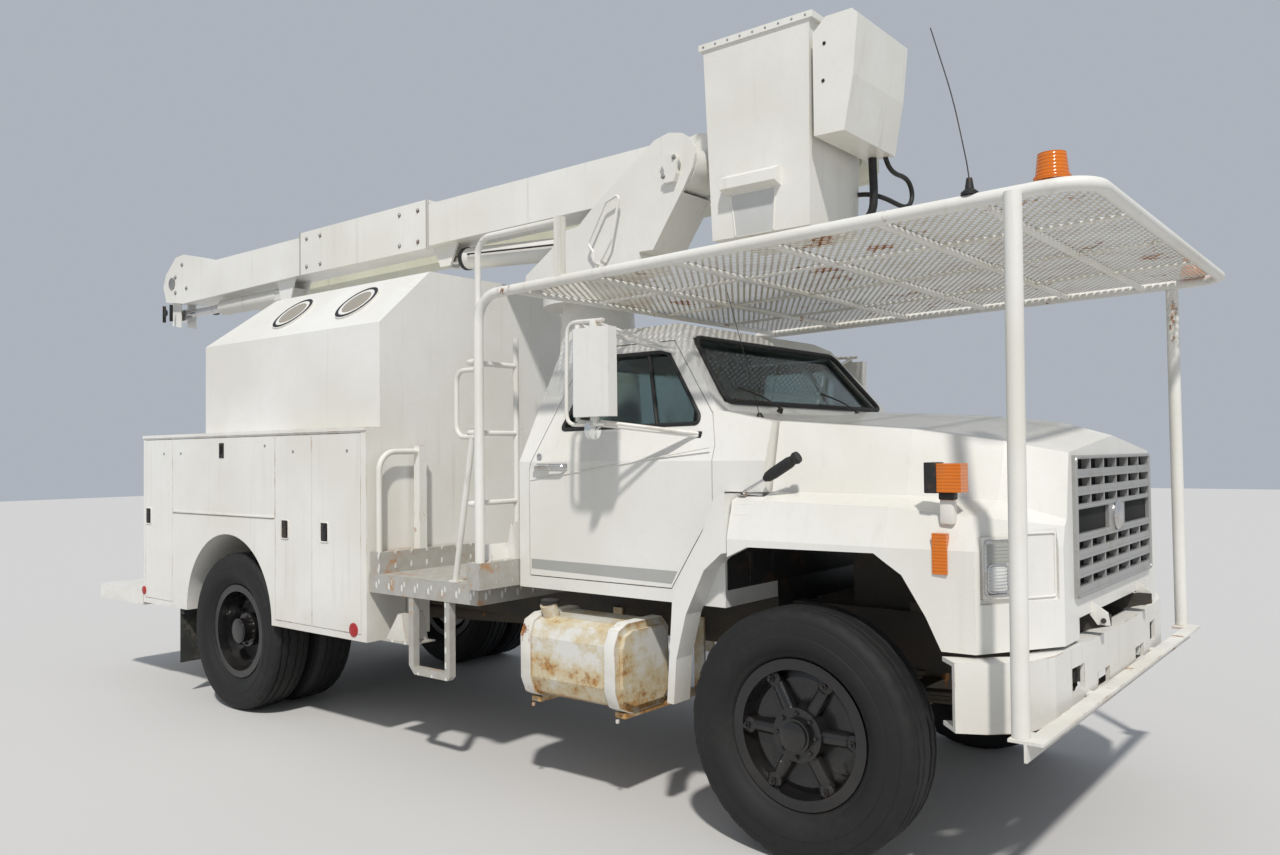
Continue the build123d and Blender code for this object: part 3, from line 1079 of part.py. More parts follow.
with BuildPart() as bucket:
    loft(sections=bucket_form(bucket_taper, bucket_bottom_z, bucket_rim_z, 0), ruled=True)
    with Locations(((bucket_x[0] + bucket_x[1]) / 2, (bucket_y[0] + bucket_y[1]) / 2, bucket_rim_z - 17)):
        Box(bucket_x[1] - bucket_x[0] + 44, bucket_y[1] - bucket_y[0] + 20, 34)
    with BuildPart(mode=Mode.PRIVATE) as bucket_hollow:
        loft(sections=bucket_form(bucket_taper, bucket_bottom_z + bucket_wall, bucket_rim_z + 1, bucket_wall), ruled=True)
    add(bucket_hollow.part, mode=Mode.SUBTRACT)
    block((bucket_pivot_x - 110, bucket_pivot_x + 110), (bucket_y[1] - 24, bucket_y[1] + 8),
          (bucket_pivot_z - 140, bucket_pivot_z + 140))
    disc_y(bucket_pivot_x, bucket_pivot_z, (bucket_y[1] - 12, upper_boom_y[1] + 1), bucket_shaft_radius)
    disc_y(bucket_pivot_x, bucket_pivot_z, (upper_boom_y[1] + 1, upper_boom_y[1] + 22), bucket_shaft_radius + 20)
    prism_x([(bucket_y[0] + 28, bucket_bottom_z + 225), (bucket_y[0] - 44, bucket_bottom_z + 245),
             (bucket_y[0] - 44, bucket_bottom_z + 300), (bucket_y[0] + 28, bucket_bottom_z + 335)], bucket_step_x)
save(bucket.part, "bucket")

with BuildPart() as control_cover:
    prism_y([(bucket_x[1] + 22.5, bucket_rim_z - 124), (bucket_x[1] + 22.5, bucket_rim_z - 635),
             (bucket_x[1] + 187, bucket_rim_z - 638), (bucket_x[1] + 238, bucket_rim_z - 372),
             (bucket_x[1] + 268, bucket_rim_z - 84), (bucket_x[1] + 238, bucket_rim_z - 56),
             (bucket_x[1] + 96, bucket_rim_z - 56)], (bucket_y[0] - 8, bucket_y[1] - 12))
    pad_z = (bucket_rim_z - 540, bucket_rim_z - 140)
    wall_low, wall_high = (bucket_x[1] - bucket_taper * (bucket_rim_z - z) / (bucket_rim_z - bucket_bottom_z) + seat_gap
                           for z in pad_z)
    prism_y([(wall_low, pad_z[0]), (wall_high, pad_z[1]), (bucket_x[1] + 23, pad_z[1]), (bucket_x[1] + 23, pad_z[0])],
            (-150, 150))
save(control_cover.part, "control_cover")
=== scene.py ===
import math

import bmesh
import bpy
from mathutils import Matrix, Vector


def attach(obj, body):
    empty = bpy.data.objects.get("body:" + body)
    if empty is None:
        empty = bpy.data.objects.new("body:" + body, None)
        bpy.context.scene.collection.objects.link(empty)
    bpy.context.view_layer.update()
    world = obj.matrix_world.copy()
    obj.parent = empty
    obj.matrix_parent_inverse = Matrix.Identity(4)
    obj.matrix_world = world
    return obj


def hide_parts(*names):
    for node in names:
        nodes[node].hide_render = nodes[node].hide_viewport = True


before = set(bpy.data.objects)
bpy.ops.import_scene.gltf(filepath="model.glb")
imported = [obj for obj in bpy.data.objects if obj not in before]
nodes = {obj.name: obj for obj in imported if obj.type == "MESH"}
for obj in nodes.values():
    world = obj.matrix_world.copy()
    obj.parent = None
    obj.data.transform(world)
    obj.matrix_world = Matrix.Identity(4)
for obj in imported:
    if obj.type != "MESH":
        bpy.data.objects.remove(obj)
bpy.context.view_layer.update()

# Corners of a square, in order
SQUARE = ((-1, -1), (1, -1), (1, 1), (-1, 1))

# Camera: the photograph's viewpoint in the truck's own frame
CAMERA_PLACE = (4.9526, -4.6327, 1.6692)
CAMERA_YAW = 0.6777
CAMERA_PITCH = 0.0255
CAMERA_ROLL = -0.0112
CAMERA_LENS = 27.91

# Stage and light
FLOOR_HALF = 40
FLOOR_COLOUR = (0.58, 0.57, 0.56, 1)
SKY_COLOUR = (0.80, 0.87, 0.97, 1)
SKY_STRENGTH = 0.52
SUN_STRENGTH = 2.9
SUN_ANGLE = math.radians(3)
SUN_COLOUR = (1.0, 0.97, 0.92)
SUN_TURN = (math.radians(34), math.radians(20), math.radians(12))


def add_object(name, data):
    """A new object in the scene."""
    made = bpy.data.objects.new(name, data)
    bpy.context.scene.collection.objects.link(made)
    return made


def make_camera():
    """Places the camera; yaw turns from +Y towards -X."""
    forward = Vector((-math.sin(CAMERA_YAW) * math.cos(CAMERA_PITCH),
                      math.cos(CAMERA_YAW) * math.cos(CAMERA_PITCH), math.sin(CAMERA_PITCH)))
    right = forward.cross(Vector((0, 0, 1))).normalized()
    up = right.cross(forward)
    rolled_right = right * math.cos(CAMERA_ROLL) + up * math.sin(CAMERA_ROLL)
    rolled_up = up * math.cos(CAMERA_ROLL) - right * math.sin(CAMERA_ROLL)
    columns = Matrix((rolled_right, rolled_up, -forward)).transposed().to_4x4()
    data = bpy.data.cameras.new("camera")
    data.lens = CAMERA_LENS
    data.sensor_width = 36.0
    data.clip_end = 200.0
    camera = add_object("camera", data)
    camera.matrix_world = Matrix.Translation(CAMERA_PLACE) @ columns
    bpy.context.scene.camera = camera


def make_stage():
    """A pale floor, a pale surround and a soft sun."""
    mesh = bpy.data.meshes.new("floor")
    corners = [(x * FLOOR_HALF, y * FLOOR_HALF, 0) for x, y in SQUARE]
    mesh.from_pydata(corners, [], [(0, 1, 2, 3)])
    floor = add_object("floor", mesh)
    material = bpy.data.materials.new("floor")
    material.use_nodes = True
    shader = material.node_tree.nodes["Principled BSDF"]
    shader.inputs["Base Color"].default_value = FLOOR_COLOUR
    shader.inputs["Roughness"].default_value = 0.9
    mesh.materials.append(material)
    world = bpy.data.worlds.new("world")
    world.use_nodes = True
    sky = world.node_tree.nodes["Background"]
    sky.inputs["Color"].default_value = SKY_COLOUR
    sky.inputs["Strength"].default_value = SKY_STRENGTH
    bpy.context.scene.world = world
    sun = bpy.data.lights.new("sun", "SUN")
    sun.energy = SUN_STRENGTH
    sun.angle = SUN_ANGLE
    sun.color = SUN_COLOUR
    add_object("sun", sun).rotation_euler = SUN_TURN


make_camera()
make_stage()
bpy.context.scene.view_settings.view_transform = "Standard"

# Materials


class Shade:
    """A material being built: each call adds a node and returns its output."""

    def __init__(self, name, rough=0.5, metallic=0.0, **sockets):
        self.material = bpy.data.materials.new(name)
        self.material.use_nodes = True
        self.tree = self.material.node_tree
        self.shader = self.tree.nodes["Principled BSDF"]
        self.shader.inputs["Roughness"].default_value = rough
        self.shader.inputs["Metallic"].default_value = metallic
        for key, value in sockets.items():
            self.shader.inputs[key.replace("_", " ")].default_value = value
        self.object_place = self.add("TexCoord", {}, "Object")

    def add(self, kind, inputs, out=0, **settings):
        node = self.tree.nodes.new("ShaderNode" + kind)
        for key, value in settings.items():
            setattr(node, key, value)
        for key, value in inputs.items():
            if isinstance(value, bpy.types.NodeSocket):
                self.tree.links.new(value, node.inputs[key])
            else:
                node.inputs[key].default_value = value
        return node.outputs[out]

    def noise(self, scale, stretch=(1, 1, 1), detail=4.0, rough=0.55):
        place = self.add("Mapping", {"Vector": self.object_place, "Scale": stretch})
        return self.add("TexNoise", {"Vector": place, "Scale": scale, "Detail": detail, "Roughness": rough})

    def ramp(self, value, low, high, top=1.0):
        return self.add("MapRange", {"Value": value, "From Min": low, "From Max": high, "To Max": top},
                        interpolation_type="SMOOTHSTEP")

    def math(self, operation, a, b):
        return self.add("Math", {0: a, 1: b}, operation=operation)

    def height(self):
        return self.add("SeparateXYZ", {"Vector": self.object_place}, "Z")

    def mix(self, share, a, b):
        return self.add("Mix", {0: share, 6: a, 7: b}, 2, data_type="RGBA")

    def edges(self, radius):
        bent = self.add("Bevel", {"Radius": radius}, samples=4)
        flat = self.add("NewGeometry", {}, "Normal")
        turn = self.add("VectorMath", {0: bent, 1: flat}, "Value", operation="DOT_PRODUCT")
        return self.ramp(self.math("SUBTRACT", 1.0, turn), 0.02, 0.22)

    def bump(self, height, depth, normal=None):
        inputs = {"Height": height, "Distance": depth}
        if normal:
            inputs["Normal"] = normal
        return self.add("Bump", inputs)

    def wear(self, value):
        self.tree.links.new(value, self.shader.inputs["Base Color"])

    def set(self, socket, value):
        self.tree.links.new(value, self.shader.inputs[socket])


def rgb(red, green, blue):
    return (red, green, blue, 1.0)


RUST = rgb(0.19, 0.065, 0.018)
RUST_PALE = rgb(0.44, 0.21, 0.07)
DIRT = rgb(0.30, 0.25, 0.18)


def paint(name, colour, rough=0.36, runs=0.3, low_dirt=0.3, rust=0.15, edge_rust=0.3, edge=0.006,
          dirt=DIRT, grime_from=0.95, uneven=0.10, coat=0.0, spot=7.0):
    """Aged paint: broad shading, rain runs, road dirt low down, rust in spots and along edges."""
    s = Shade(name, rough)
    s.shader.inputs["Coat Weight"].default_value = coat
    worn = rgb(*(c * (1 - uneven) * f for c, f in zip(colour, (1.0, 0.985, 0.94))))
    shade = s.mix(s.ramp(s.noise(1.1, detail=3), 0.35, 0.68), colour, worn)
    shade = s.mix(s.ramp(s.noise(30, detail=5), 0.45, 0.8, 0.35), shade, worn)
    run = s.ramp(s.noise(1.0, (17, 17, 0.8), 6, 0.6), 0.55, 0.82, runs)
    low = s.ramp(s.height(), grime_from, 0.35, low_dirt)
    low = s.math("MULTIPLY", low, s.ramp(s.noise(3.2, (1, 1, 1.6), 7, 0.62), 0.3, 0.62))
    grime = s.math("MAXIMUM", run, low)
    shade = s.mix(grime, shade, dirt)
    first = 0.70 - 0.11 * rust
    spots = s.ramp(s.noise(spot, (1, 1, 0.6), 8, 0.72), first, first + 0.05, min(1.0, 0.3 + rust))
    line = s.math("MULTIPLY", s.edges(edge), s.ramp(s.noise(4.5, detail=6, rough=0.7), 0.48, 0.62, edge_rust))
    rusty = s.math("MAXIMUM", spots, line)
    tone = s.mix(s.ramp(s.noise(45, detail=4), 0.35, 0.65), RUST, RUST_PALE)
    s.wear(s.mix(rusty, shade, tone))
    rough_now = s.math("ADD", s.math("MULTIPLY", s.math("MAXIMUM", grime, rusty), 0.45),
                       s.ramp(s.noise(9, detail=5), 0.2, 0.8, 0.12))
    s.set("Roughness", s.math("ADD", rough_now, rough))
    peel = s.bump(s.noise(140, detail=2), 0.0006)
    s.set("Normal", s.bump(rusty, 0.0012, peel))
    return s.material


def rusty_tank(name):
    """White paint worn through to orange rust in broad patches, worse low down."""
    s = Shade(name, 0.55)
    white, stained = rgb(0.66, 0.65, 0.61), rgb(0.56, 0.47, 0.30)
    broad = s.noise(3.4, (1, 1, 1.3), 7, 0.62)
    fine = s.noise(26, detail=8, rough=0.75)
    lower = s.ramp(s.height(), 0.80, 0.46, 0.075)
    uneven = s.math("ADD", s.math("MULTIPLY", broad, 0.72), s.math("MULTIPLY", fine, 0.28))
    field = s.math("ADD", uneven, lower)
    shade = s.mix(s.ramp(field, 0.44, 0.56), white, stained)
    orange = s.mix(s.ramp(s.noise(60, detail=5), 0.35, 0.65), rgb(0.52, 0.28, 0.075), rgb(0.27, 0.115, 0.032))
    rusty = s.ramp(field, 0.545, 0.625, 0.92)
    line = s.math("MULTIPLY", s.edges(0.010), s.ramp(s.noise(6, detail=6), 0.42, 0.55))
    s.wear(s.mix(s.math("MAXIMUM", rusty, line), shade, orange))
    s.set("Roughness", s.math("ADD", s.math("MULTIPLY", rusty, 0.35), 0.45))
    s.set("Normal", s.bump(fine, 0.0016))
    return s.material


def tread_plate_paint(name, colour):
    """Raised bars in two directions, worn white paint with rust between them."""
    s = Shade(name, 0.5)
    pitch = 0.040
    turned = [s.add("VectorRotate", {"Vector": s.object_place, "Angle": math.radians(angle)},
                    rotation_type="Z_AXIS") for angle in (45, -45)]
    bars = []
    for number, place in enumerate(turned):
        shift = s.add("VectorMath", {0: place, 1: (pitch * 0.5 * number, 0, pitch * 0.5 * number)},
                      operation="ADD")
        cell = s.add("VectorMath", {0: shift, 1: (pitch, pitch, pitch)}, operation="WRAP")
        s.tree.nodes[-1].inputs[2].default_value = (-pitch, -pitch, -pitch)
        size = s.add("VectorMath", {0: cell, 1: (1 / (pitch * 0.75), 1 / (pitch * 0.22), 1 / (pitch * 0.6))},
                     operation="MULTIPLY")
        length = s.add("VectorMath", {0: size}, "Value", operation="LENGTH")
        bars.append(s.ramp(length, 1.0, 0.7))
    bar = s.math("MAXIMUM", bars[0], bars[1])
    worn = s.ramp(s.noise(4.0, detail=8, rough=0.7), 0.56, 0.66)
    ground = s.mix(s.ramp(s.noise(14, detail=5), 0.35, 0.7, 0.35), rgb(0.42, 0.41, 0.38), DIRT)
    rusty = s.mix(s.math("MULTIPLY", worn, 0.85), ground, RUST_PALE)
    painted = s.math("MULTIPLY", bar, s.math("SUBTRACT", 0.95, s.math("MULTIPLY", worn, 0.7)))
    s.wear(s.mix(painted, rusty, colour))
    s.set("Normal", s.bump(bar, 0.003))
    return s.material


def rubber(name, colour, dusty, rough=0.82, low=0.3):
    """Matt rubber, dusty in broad patches, with a fine grain."""
    s = Shade(name, rough)
    dust = s.math("MULTIPLY", s.ramp(s.noise(3.5, detail=7, rough=0.65), 0.42, 0.7),
                  s.ramp(s.noise(38, detail=3), 0.25, 0.75))
    s.wear(s.mix(s.math("MULTIPLY", dust, low), colour, dusty))
    s.set("Normal", s.bump(s.noise(220, detail=3), 0.0007))
    return s.material


def plain_metal(name, colour, rough, metallic, stain, stain_share):
    """Metal with stains and small scratches in its finish."""
    s = Shade(name, rough, metallic)
    mask = s.ramp(s.noise(10.0, detail=7, rough=0.68), 0.5, 0.72, stain_share)
    s.wear(s.mix(mask, colour, stain))
    s.set("Roughness", s.math("ADD", s.ramp(s.noise(60, (1, 1, 4)), 0.3, 0.8, 0.18), rough))
    s.set("Normal", s.bump(s.noise(90, detail=4), 0.0005))
    return s.material


def lens(name, colour, ribs):
    """Moulded plastic lens: clear depth from transmission, ribs by bump, dust on top."""
    s = Shade(name, 0.16, Transmission_Weight=0.25, IOR=1.49)
    dust = s.ramp(s.noise(9, detail=6, rough=0.7), 0.45, 0.75, 0.4)
    s.wear(s.mix(dust, colour, rgb(*(0.55 * c + 0.08 for c in colour[:3]))))
    wave = s.add("TexWave", {"Vector": s.object_place, "Scale": 26.0, "Distortion": 0.0}, "Fac",
                 bands_direction="Z")
    s.set("Normal", s.bump(wave, ribs))
    return s.material


def glass(name, tint):
    """Window glass: see-through, with streaks of dust."""
    rough, dirty = 0.03, 0.25
    s = Shade(name, rough, Transmission_Weight=1.0, IOR=1.45)
    dust = s.math("MULTIPLY", s.ramp(s.noise(6, (1, 1, 0.4), 7, 0.65), 0.45, 0.8), dirty)
    s.wear(s.mix(dust, tint, rgb(0.62, 0.62, 0.58)))
    s.set("Roughness", s.math("ADD", s.math("MULTIPLY", dust, 1.2), rough))
    return s.material


def cloth(name, colour, seam):
    """Seat cover: fine weave in two directions, creases and a faded crown."""
    s = Shade(name, 0.72, Sheen_Weight=0.15)
    fade = s.ramp(s.noise(3.0, detail=5), 0.35, 0.7, 0.6)
    s.wear(s.mix(fade, colour, seam))
    across = s.add("TexWave", {"Vector": s.object_place, "Scale": 170.0, "Distortion": 0.6}, "Fac",
                   bands_direction="Y")
    along = s.add("TexWave", {"Vector": s.object_place, "Scale": 170.0, "Distortion": 0.6}, "Fac",
                  bands_direction="DIAGONAL")
    weave = s.bump(s.math("ADD", across, along), 0.0005)
    s.set("Normal", s.bump(s.noise(9, detail=4), 0.006, weave))
    return s.material


# Materials by name; Blender adds a number where the frame already holds a material of that name
MATERIALS = {made.name.split(".")[0]: made for made in (
    paint("cab_white", rgb(0.78, 0.77, 0.735), 0.30, 0.16, 0.35, 0.05, 0.35, coat=0.25),
    paint("body_white", rgb(0.80, 0.79, 0.755), 0.34, 0.22, 0.32, 0.06, 0.75, 0.008, coat=0.15),
    paint("box_white", rgb(0.80, 0.79, 0.76), 0.36, 0.18, 0.2, 0.05, 0.25, coat=0.1),
    paint("guard_white", rgb(0.76, 0.75, 0.71), 0.45, 0.35, 0.5, 0.75, 0.9, 0.012, spot=5.0),
    paint("bumper_white", rgb(0.76, 0.75, 0.72), 0.42, 0.3, 0.5, 0.35, 0.85, 0.010),
    rusty_tank("tank_white"),
    paint("barrel_white", rgb(0.70, 0.69, 0.65), 0.42, 0.3, 0.0, 0.4, 0.4, 0.008),
    paint("boom_white", rgb(0.82, 0.81, 0.775), 0.34, 0.25, 0.0, 0.03, 0.2, coat=0.2),
    paint("boom_fibreglass", rgb(0.70, 0.70, 0.57), 0.42, 0.35, 0.0, 0.0, 0.0, uneven=0.16),
    paint("bucket_white", rgb(0.80, 0.79, 0.755), 0.36, 0.2, 0.0, 0.0, 0.0, coat=0.2),
    paint("chassis_black", rgb(0.035, 0.034, 0.033), 0.62, 0.3, 0.9, 0.7, 0.7, spot=5.0,
          grime_from=1.3, dirt=rgb(0.11, 0.085, 0.06)),
    paint("cast_dark", rgb(0.085, 0.08, 0.072), 0.7, 0.3, 0.8, 0.8, 0.7, spot=8.0,
          grime_from=2.0, dirt=rgb(0.13, 0.10, 0.07)),
    paint("wheel_black", rgb(0.006, 0.006, 0.007), 0.20, 0.06, 0.22, 0.03, 0.10,
          dirt=rgb(0.05, 0.042, 0.033), grime_from=0.8, coat=0.3),
    # Canopy mesh: worn white with heavy rust, made darker as painted shade for the underside seen from below
    paint("mesh_rust_and_shade", rgb(0.66, 0.64, 0.58), 0.55, 0.6, 0.0, 1.0, 0.6, spot=3.2),
    tread_plate_paint("deck_plate", rgb(0.70, 0.69, 0.65)),
    rubber("tyre_rubber", rgb(0.0075, 0.0075, 0.008), rgb(0.055, 0.048, 0.038), 0.74, 0.22),
    rubber("flap_rubber", rgb(0.03, 0.032, 0.03), rgb(0.17, 0.15, 0.11), 0.85, 0.8),
    rubber("seal_rubber", rgb(0.012, 0.012, 0.013), rgb(0.09, 0.085, 0.075), 0.6, 0.25),
    rubber("hose_rubber", rgb(0.012, 0.012, 0.012), rgb(0.06, 0.055, 0.045), 0.55, 0.4),
    rubber("dash_plastic", rgb(0.035, 0.033, 0.032), rgb(0.14, 0.13, 0.11), 0.65, 0.4),
    plain_metal("grille_grey", rgb(0.40, 0.40, 0.39), 0.36, 0.45, rgb(0.30, 0.27, 0.20), 0.6),
    # Near black: behind the grille's bars it is painted shade of the depth; it also colours the middle band's
    # panels
    rubber("grille_dark", rgb(0.004, 0.004, 0.004), rgb(0.012, 0.011, 0.010), 0.9, 0.3),
    plain_metal("rod_chrome", rgb(0.62, 0.62, 0.62), 0.12, 1.0, rgb(0.30, 0.26, 0.20), 0.4),
    plain_metal("bright_metal", rgb(0.60, 0.60, 0.60), 0.20, 0.95, rgb(0.35, 0.24, 0.14), 0.5),
    plain_metal("zinc", rgb(0.38, 0.38, 0.37), 0.42, 0.8, rgb(0.22, 0.11, 0.05), 0.8),
    plain_metal("black_metal", rgb(0.02, 0.02, 0.02), 0.45, 0.2, rgb(0.14, 0.07, 0.03), 0.5),
    lens("amber_lens", rgb(0.83, 0.21, 0.012), 0.0012),
    lens("red_lens", rgb(0.50, 0.015, 0.012), 0.0012),
    lens("clear_lens", rgb(0.75, 0.76, 0.74), 0.0016),
    lens("port_beige", rgb(0.42, 0.37, 0.29), 0.0),
    glass("window_glass", rgb(0.40, 0.49, 0.48)),
    cloth("seat_cloth", rgb(0.05, 0.048, 0.05), rgb(0.10, 0.095, 0.09)),
    # Grey for the sheet under the bucket's step: painted shadow of the step pad
    paint("pad_shadow_grey", rgb(0.58, 0.59, 0.59), 0.4, 0.15, 0.5, 0.1, 0.15),
    paint("stripe_grey", rgb(0.40, 0.405, 0.39), 0.4, 0.2, 0.5, 0.15, 0.2),
    plain_metal("mirror_glass", rgb(0.78, 0.80, 0.80), 0.04, 1.0, rgb(0.4, 0.4, 0.38), 0.1),
)}

# CAD nodes by material; a star stands for right and left
NODE_MATERIALS = {
    "cab_white": "cab_shell fender_tails hood_front door_* turret pedestal lift_barrel",
    "body_white": "service_body tail_shelf locker_rear_* locker_drop_* locker_mid_* locker_front_*",
    "box_white": "chip_box box_door",
    "guard_white": "canopy_frame side_ladder",
    "bumper_white": "bumper",
    "tank_white": "fuel_tanks",
    "barrel_white": "elbow_barrel",
    "boom_white": "lower_boom",
    "boom_fibreglass": "upper_boom",
    "bucket_white": "bucket control_cover",
    "chassis_black": "chassis_frame",
    "cast_dark": "front_axle leaf_springs rear_axle engine_block knuckle_* tie_rod elbow_link",
    "wheel_black": "wheel_front_* wheels_rear_*",
    "deck_plate": "deck",
    "dash_plastic": "dashboard",
    "grille_grey": "grille",
    "amber_lens": "beacons front_lamps",
    "red_lens": "tail_lamps",
    "flap_rubber": "mud_flaps",
    "rod_chrome": "lift_rod elbow_rod",
    "window_glass": "cab_glass door_glass_*",
    "mesh_rust_and_shade": "canopy_mesh",
    "seat_cloth": "bench_seat",
    "tyre_rubber": "tyre_front_* tyres_rear_*",
}
for material_name, patterns in NODE_MATERIALS.items():
    names = {pattern.replace("*", word) for pattern in patterns.split() for word in ("right", "left")}
    for node_name in sorted(names):
        node = nodes[node_name]
        if not node.material_slots:
            node.data.materials.append(MATERIALS[material_name])
        for node_slot in node.material_slots:
            node_slot.material = MATERIALS[material_name]

# Mesh helpers


def finish_piece(bm, name, material, body, smooth=30.0, replaced=()):
    """Turns a bmesh into a piece that rides on a body."""
    mesh = bpy.data.meshes.new(name)
    bmesh.ops.remove_doubles(bm, verts=bm.verts, dist=1e-6)
    bmesh.ops.recalc_face_normals(bm, faces=bm.faces)
    bm.to_mesh(mesh)
    bm.free()
    mesh.materials.append(MATERIALS[material])
    piece = add_object(name, mesh)
    if smooth:
        mesh.shade_smooth()
        mesh.set_sharp_from_angle(angle=math.radians(smooth))
    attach(piece, body)
    if replaced:
        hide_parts(*replaced)
    return piece


def add_block(bm, low, high, bevel):
    """A bevelled block between two corners."""
    made = bmesh.ops.create_cube(bm, size=1.0)["verts"]
    centre = [(a + b) / 2 for a, b in zip(low, high)]
    size = [abs(b - a) for a, b in zip(low, high)]
    matrix = Matrix.Translation(centre) @ Matrix.Diagonal((*size, 1.0))
    bmesh.ops.transform(bm, matrix=matrix, verts=made)
    edges = list({e for v in made for e in v.link_edges})
    bmesh.ops.bevel(bm, geom=edges, offset=min(bevel, min(size) * 0.45), segments=2, profile=0.5,
                    affect="EDGES")


def basis(axis):
    """Two directions across an axis."""
    axis = Vector(axis).normalized()
    side = axis.cross(Vector((0, 0, 1)))
    if side.length < 1e-3:
        side = axis.cross(Vector((1, 0, 0)))
    side.normalize()
    return axis, side, axis.cross(side)


def add_skin(bm, rings, closed=False):
    """Faces between rings of points, with both ends capped unless the rings close."""
    count = len(rings[0])
    for one, two in zip(rings, rings[1:] + (rings[:1] if closed else [])):
        for k in range(count):
            bm.faces.new((one[k], one[(k + 1) % count], two[(k + 1) % count], two[k]))
    if not closed:
        bm.faces.new(list(reversed(rings[0])))
        bm.faces.new(rings[-1])


def add_turned(bm, centre, axis, profile, steps):
    """A solid of revolution; profile is (distance along the axis, radius) from one end to the other."""
    axis, side, other = basis(axis)
    centre = Vector(centre)
    rings = []
    for along, radius in profile:
        ring = []
        for k in range(steps):
            a = 2 * math.pi * k / steps
            spoke = side * math.cos(a) + other * math.sin(a)
            ring.append(bm.verts.new(centre + axis * along + spoke * radius))
        rings.append(ring)
    add_skin(bm, rings)


def add_nut(bm, centre, axis, size, height, stud):
    """A washer, a six-sided nut and the stud's end."""
    add_turned(bm, centre, axis, [(0, size * 1.45), (0.0022, size * 1.45), (0.003, size * 1.35)], 16)
    add_turned(bm, centre, axis, [(0.002, size), (height - 0.0015, size), (height, size * 0.88)], 6)
    add_turned(bm, centre, axis, [(height - 0.001, size * 0.5), (height + stud, size * 0.5),
                                  (height + stud + 0.001, size * 0.4)], 10)


def add_tube(bm, points, radius, steps=8, round_at=0.03, closed=False):
    """A round bar through points, with each corner rounded by a short arc."""
    points = [Vector(p) for p in points]
    path = []
    last = len(points) - 1
    for n, point in enumerate(points):
        if closed or 0 < n < last:
            before, after = points[n - 1], points[(n + 1) % len(points)]
            reach = min(round_at, 0.45 * (before - point).length, 0.45 * (after - point).length)
            a = point + (before - point).normalized() * reach
            b = point + (after - point).normalized() * reach
            for k in range(6):
                t = k / 5
                path.append(a * (1 - t) ** 2 + point * 2 * t * (1 - t) + b * t * t)
        else:
            path.append(point)
    rings = []
    count = len(path)
    previous = None
    for n, point in enumerate(path):
        ahead = path[(n + 1) % count] if closed or n < count - 1 else point
        behind = path[n - 1] if closed or n > 0 else point
        axis = (ahead - behind).normalized()
        if previous is None:
            side = basis(axis)[1]
        else:
            side = (previous - axis * previous.dot(axis)).normalized()
        previous = side
        other = axis.cross(side)
        rings.append([bm.verts.new(point + (side * math.cos(2 * math.pi * k / steps)
                                            + other * math.sin(2 * math.pi * k / steps)) * radius)
                      for k in range(steps)])
    add_skin(bm, rings, closed)


def add_sheet(bm, outline, offset):
    """A flat plate: an outline of points and its thickness vector."""
    low = [bm.verts.new(Vector(p)) for p in outline]
    high = [bm.verts.new(Vector(p) + Vector(offset)) for p in outline]
    bm.faces.new(list(reversed(low)))
    bm.faces.new(high)
    count = len(outline)
    for n in range(count):
        bm.faces.new((low[n], low[(n + 1) % count], high[(n + 1) % count], high[n]))


SIDES = ((-1, "right"), (1, "left"))
RIGHT = (0, -1, 0)
UP = (0, 0, 1)

# Tyres with ribbed tread, one mesh a wheel; the twin rear tyres are one piece
AXLE_Z = 0.515
FRONT_X = 2.890
REAR_X = -1.300
TYRE_STEPS = 144
TYRE_HALF = [
    (0.0785, 0.2886), (0.0785, 0.3065), (0.0935, 0.3170), (0.1000, 0.3230), (0.1010, 0.3270),
    (0.1150, 0.3400), (0.1290, 0.3600), (0.1370, 0.3800), (0.1398, 0.4000), (0.1392, 0.4080),
    (0.1372, 0.4100), (0.1378, 0.4300), (0.1350, 0.4500), (0.1328, 0.4620), (0.1300, 0.4640),
    (0.1290, 0.4780), (0.1215, 0.4950), (0.1110, 0.5060), (0.1010, 0.5118), (0.0860, 0.5140),
    (0.0800, 0.5030), (0.0730, 0.5030), (0.0680, 0.5145), (0.0400, 0.5150), (0.0350, 0.5030),
    (0.0280, 0.5030), (0.0230, 0.5150), (0.0, 0.5150),
]


def add_tyre(bm, x, y):
    """One tyre about its axle: closed section, zigzag grooves, notched shoulders."""
    section = TYRE_HALF + [(-dy, r) for dy, r in reversed(TYRE_HALF[:-1])]
    rings = []
    for step in range(TYRE_STEPS):
        a = 2 * math.pi * step / TYRE_STEPS
        wave = 1.0 if step % 4 < 2 else -1.0
        ring = []
        for dy, r in section:
            if r > 0.5025 and abs(dy) < 0.09:
                dy += 0.0022 * wave
            if 0.498 < r < 0.5125 and abs(dy) > 0.1 and step % 4 == 0:
                r -= 0.007
            ring.append(bm.verts.new((x + r * math.sin(a), y + dy, AXLE_Z + r * math.cos(a))))
        rings.append(ring)
    add_skin(bm, rings, closed=True)


for side, word in SIDES:
    for label, x, places, body, node_name in (
            ("front", FRONT_X, (0.981,), f"front_wheel_{word}", f"tyre_front_{word}"),
            ("rear", REAR_X, (1.061, 0.731), f"rear_wheels_{word}", f"tyres_rear_{word}")):
        bm = bmesh.new()
        for place in places:
            add_tyre(bm, x, side * place)
        finish_piece(bm, f"tread_{label}_{word}", "tyre_rubber", body, 38.0, (node_name,))

# Wheel fittings: rim clamps with nuts, hub flanges with bolts and valve stems


def wheel_spots(x, radius, count, shift=0.0):
    """Places in a circle about a wheel's axle, as (x, z)."""
    for n in range(count):
        a = 2 * math.pi * (n + shift) / count
        yield x + radius * math.sin(a), AXLE_Z + radius * math.cos(a)


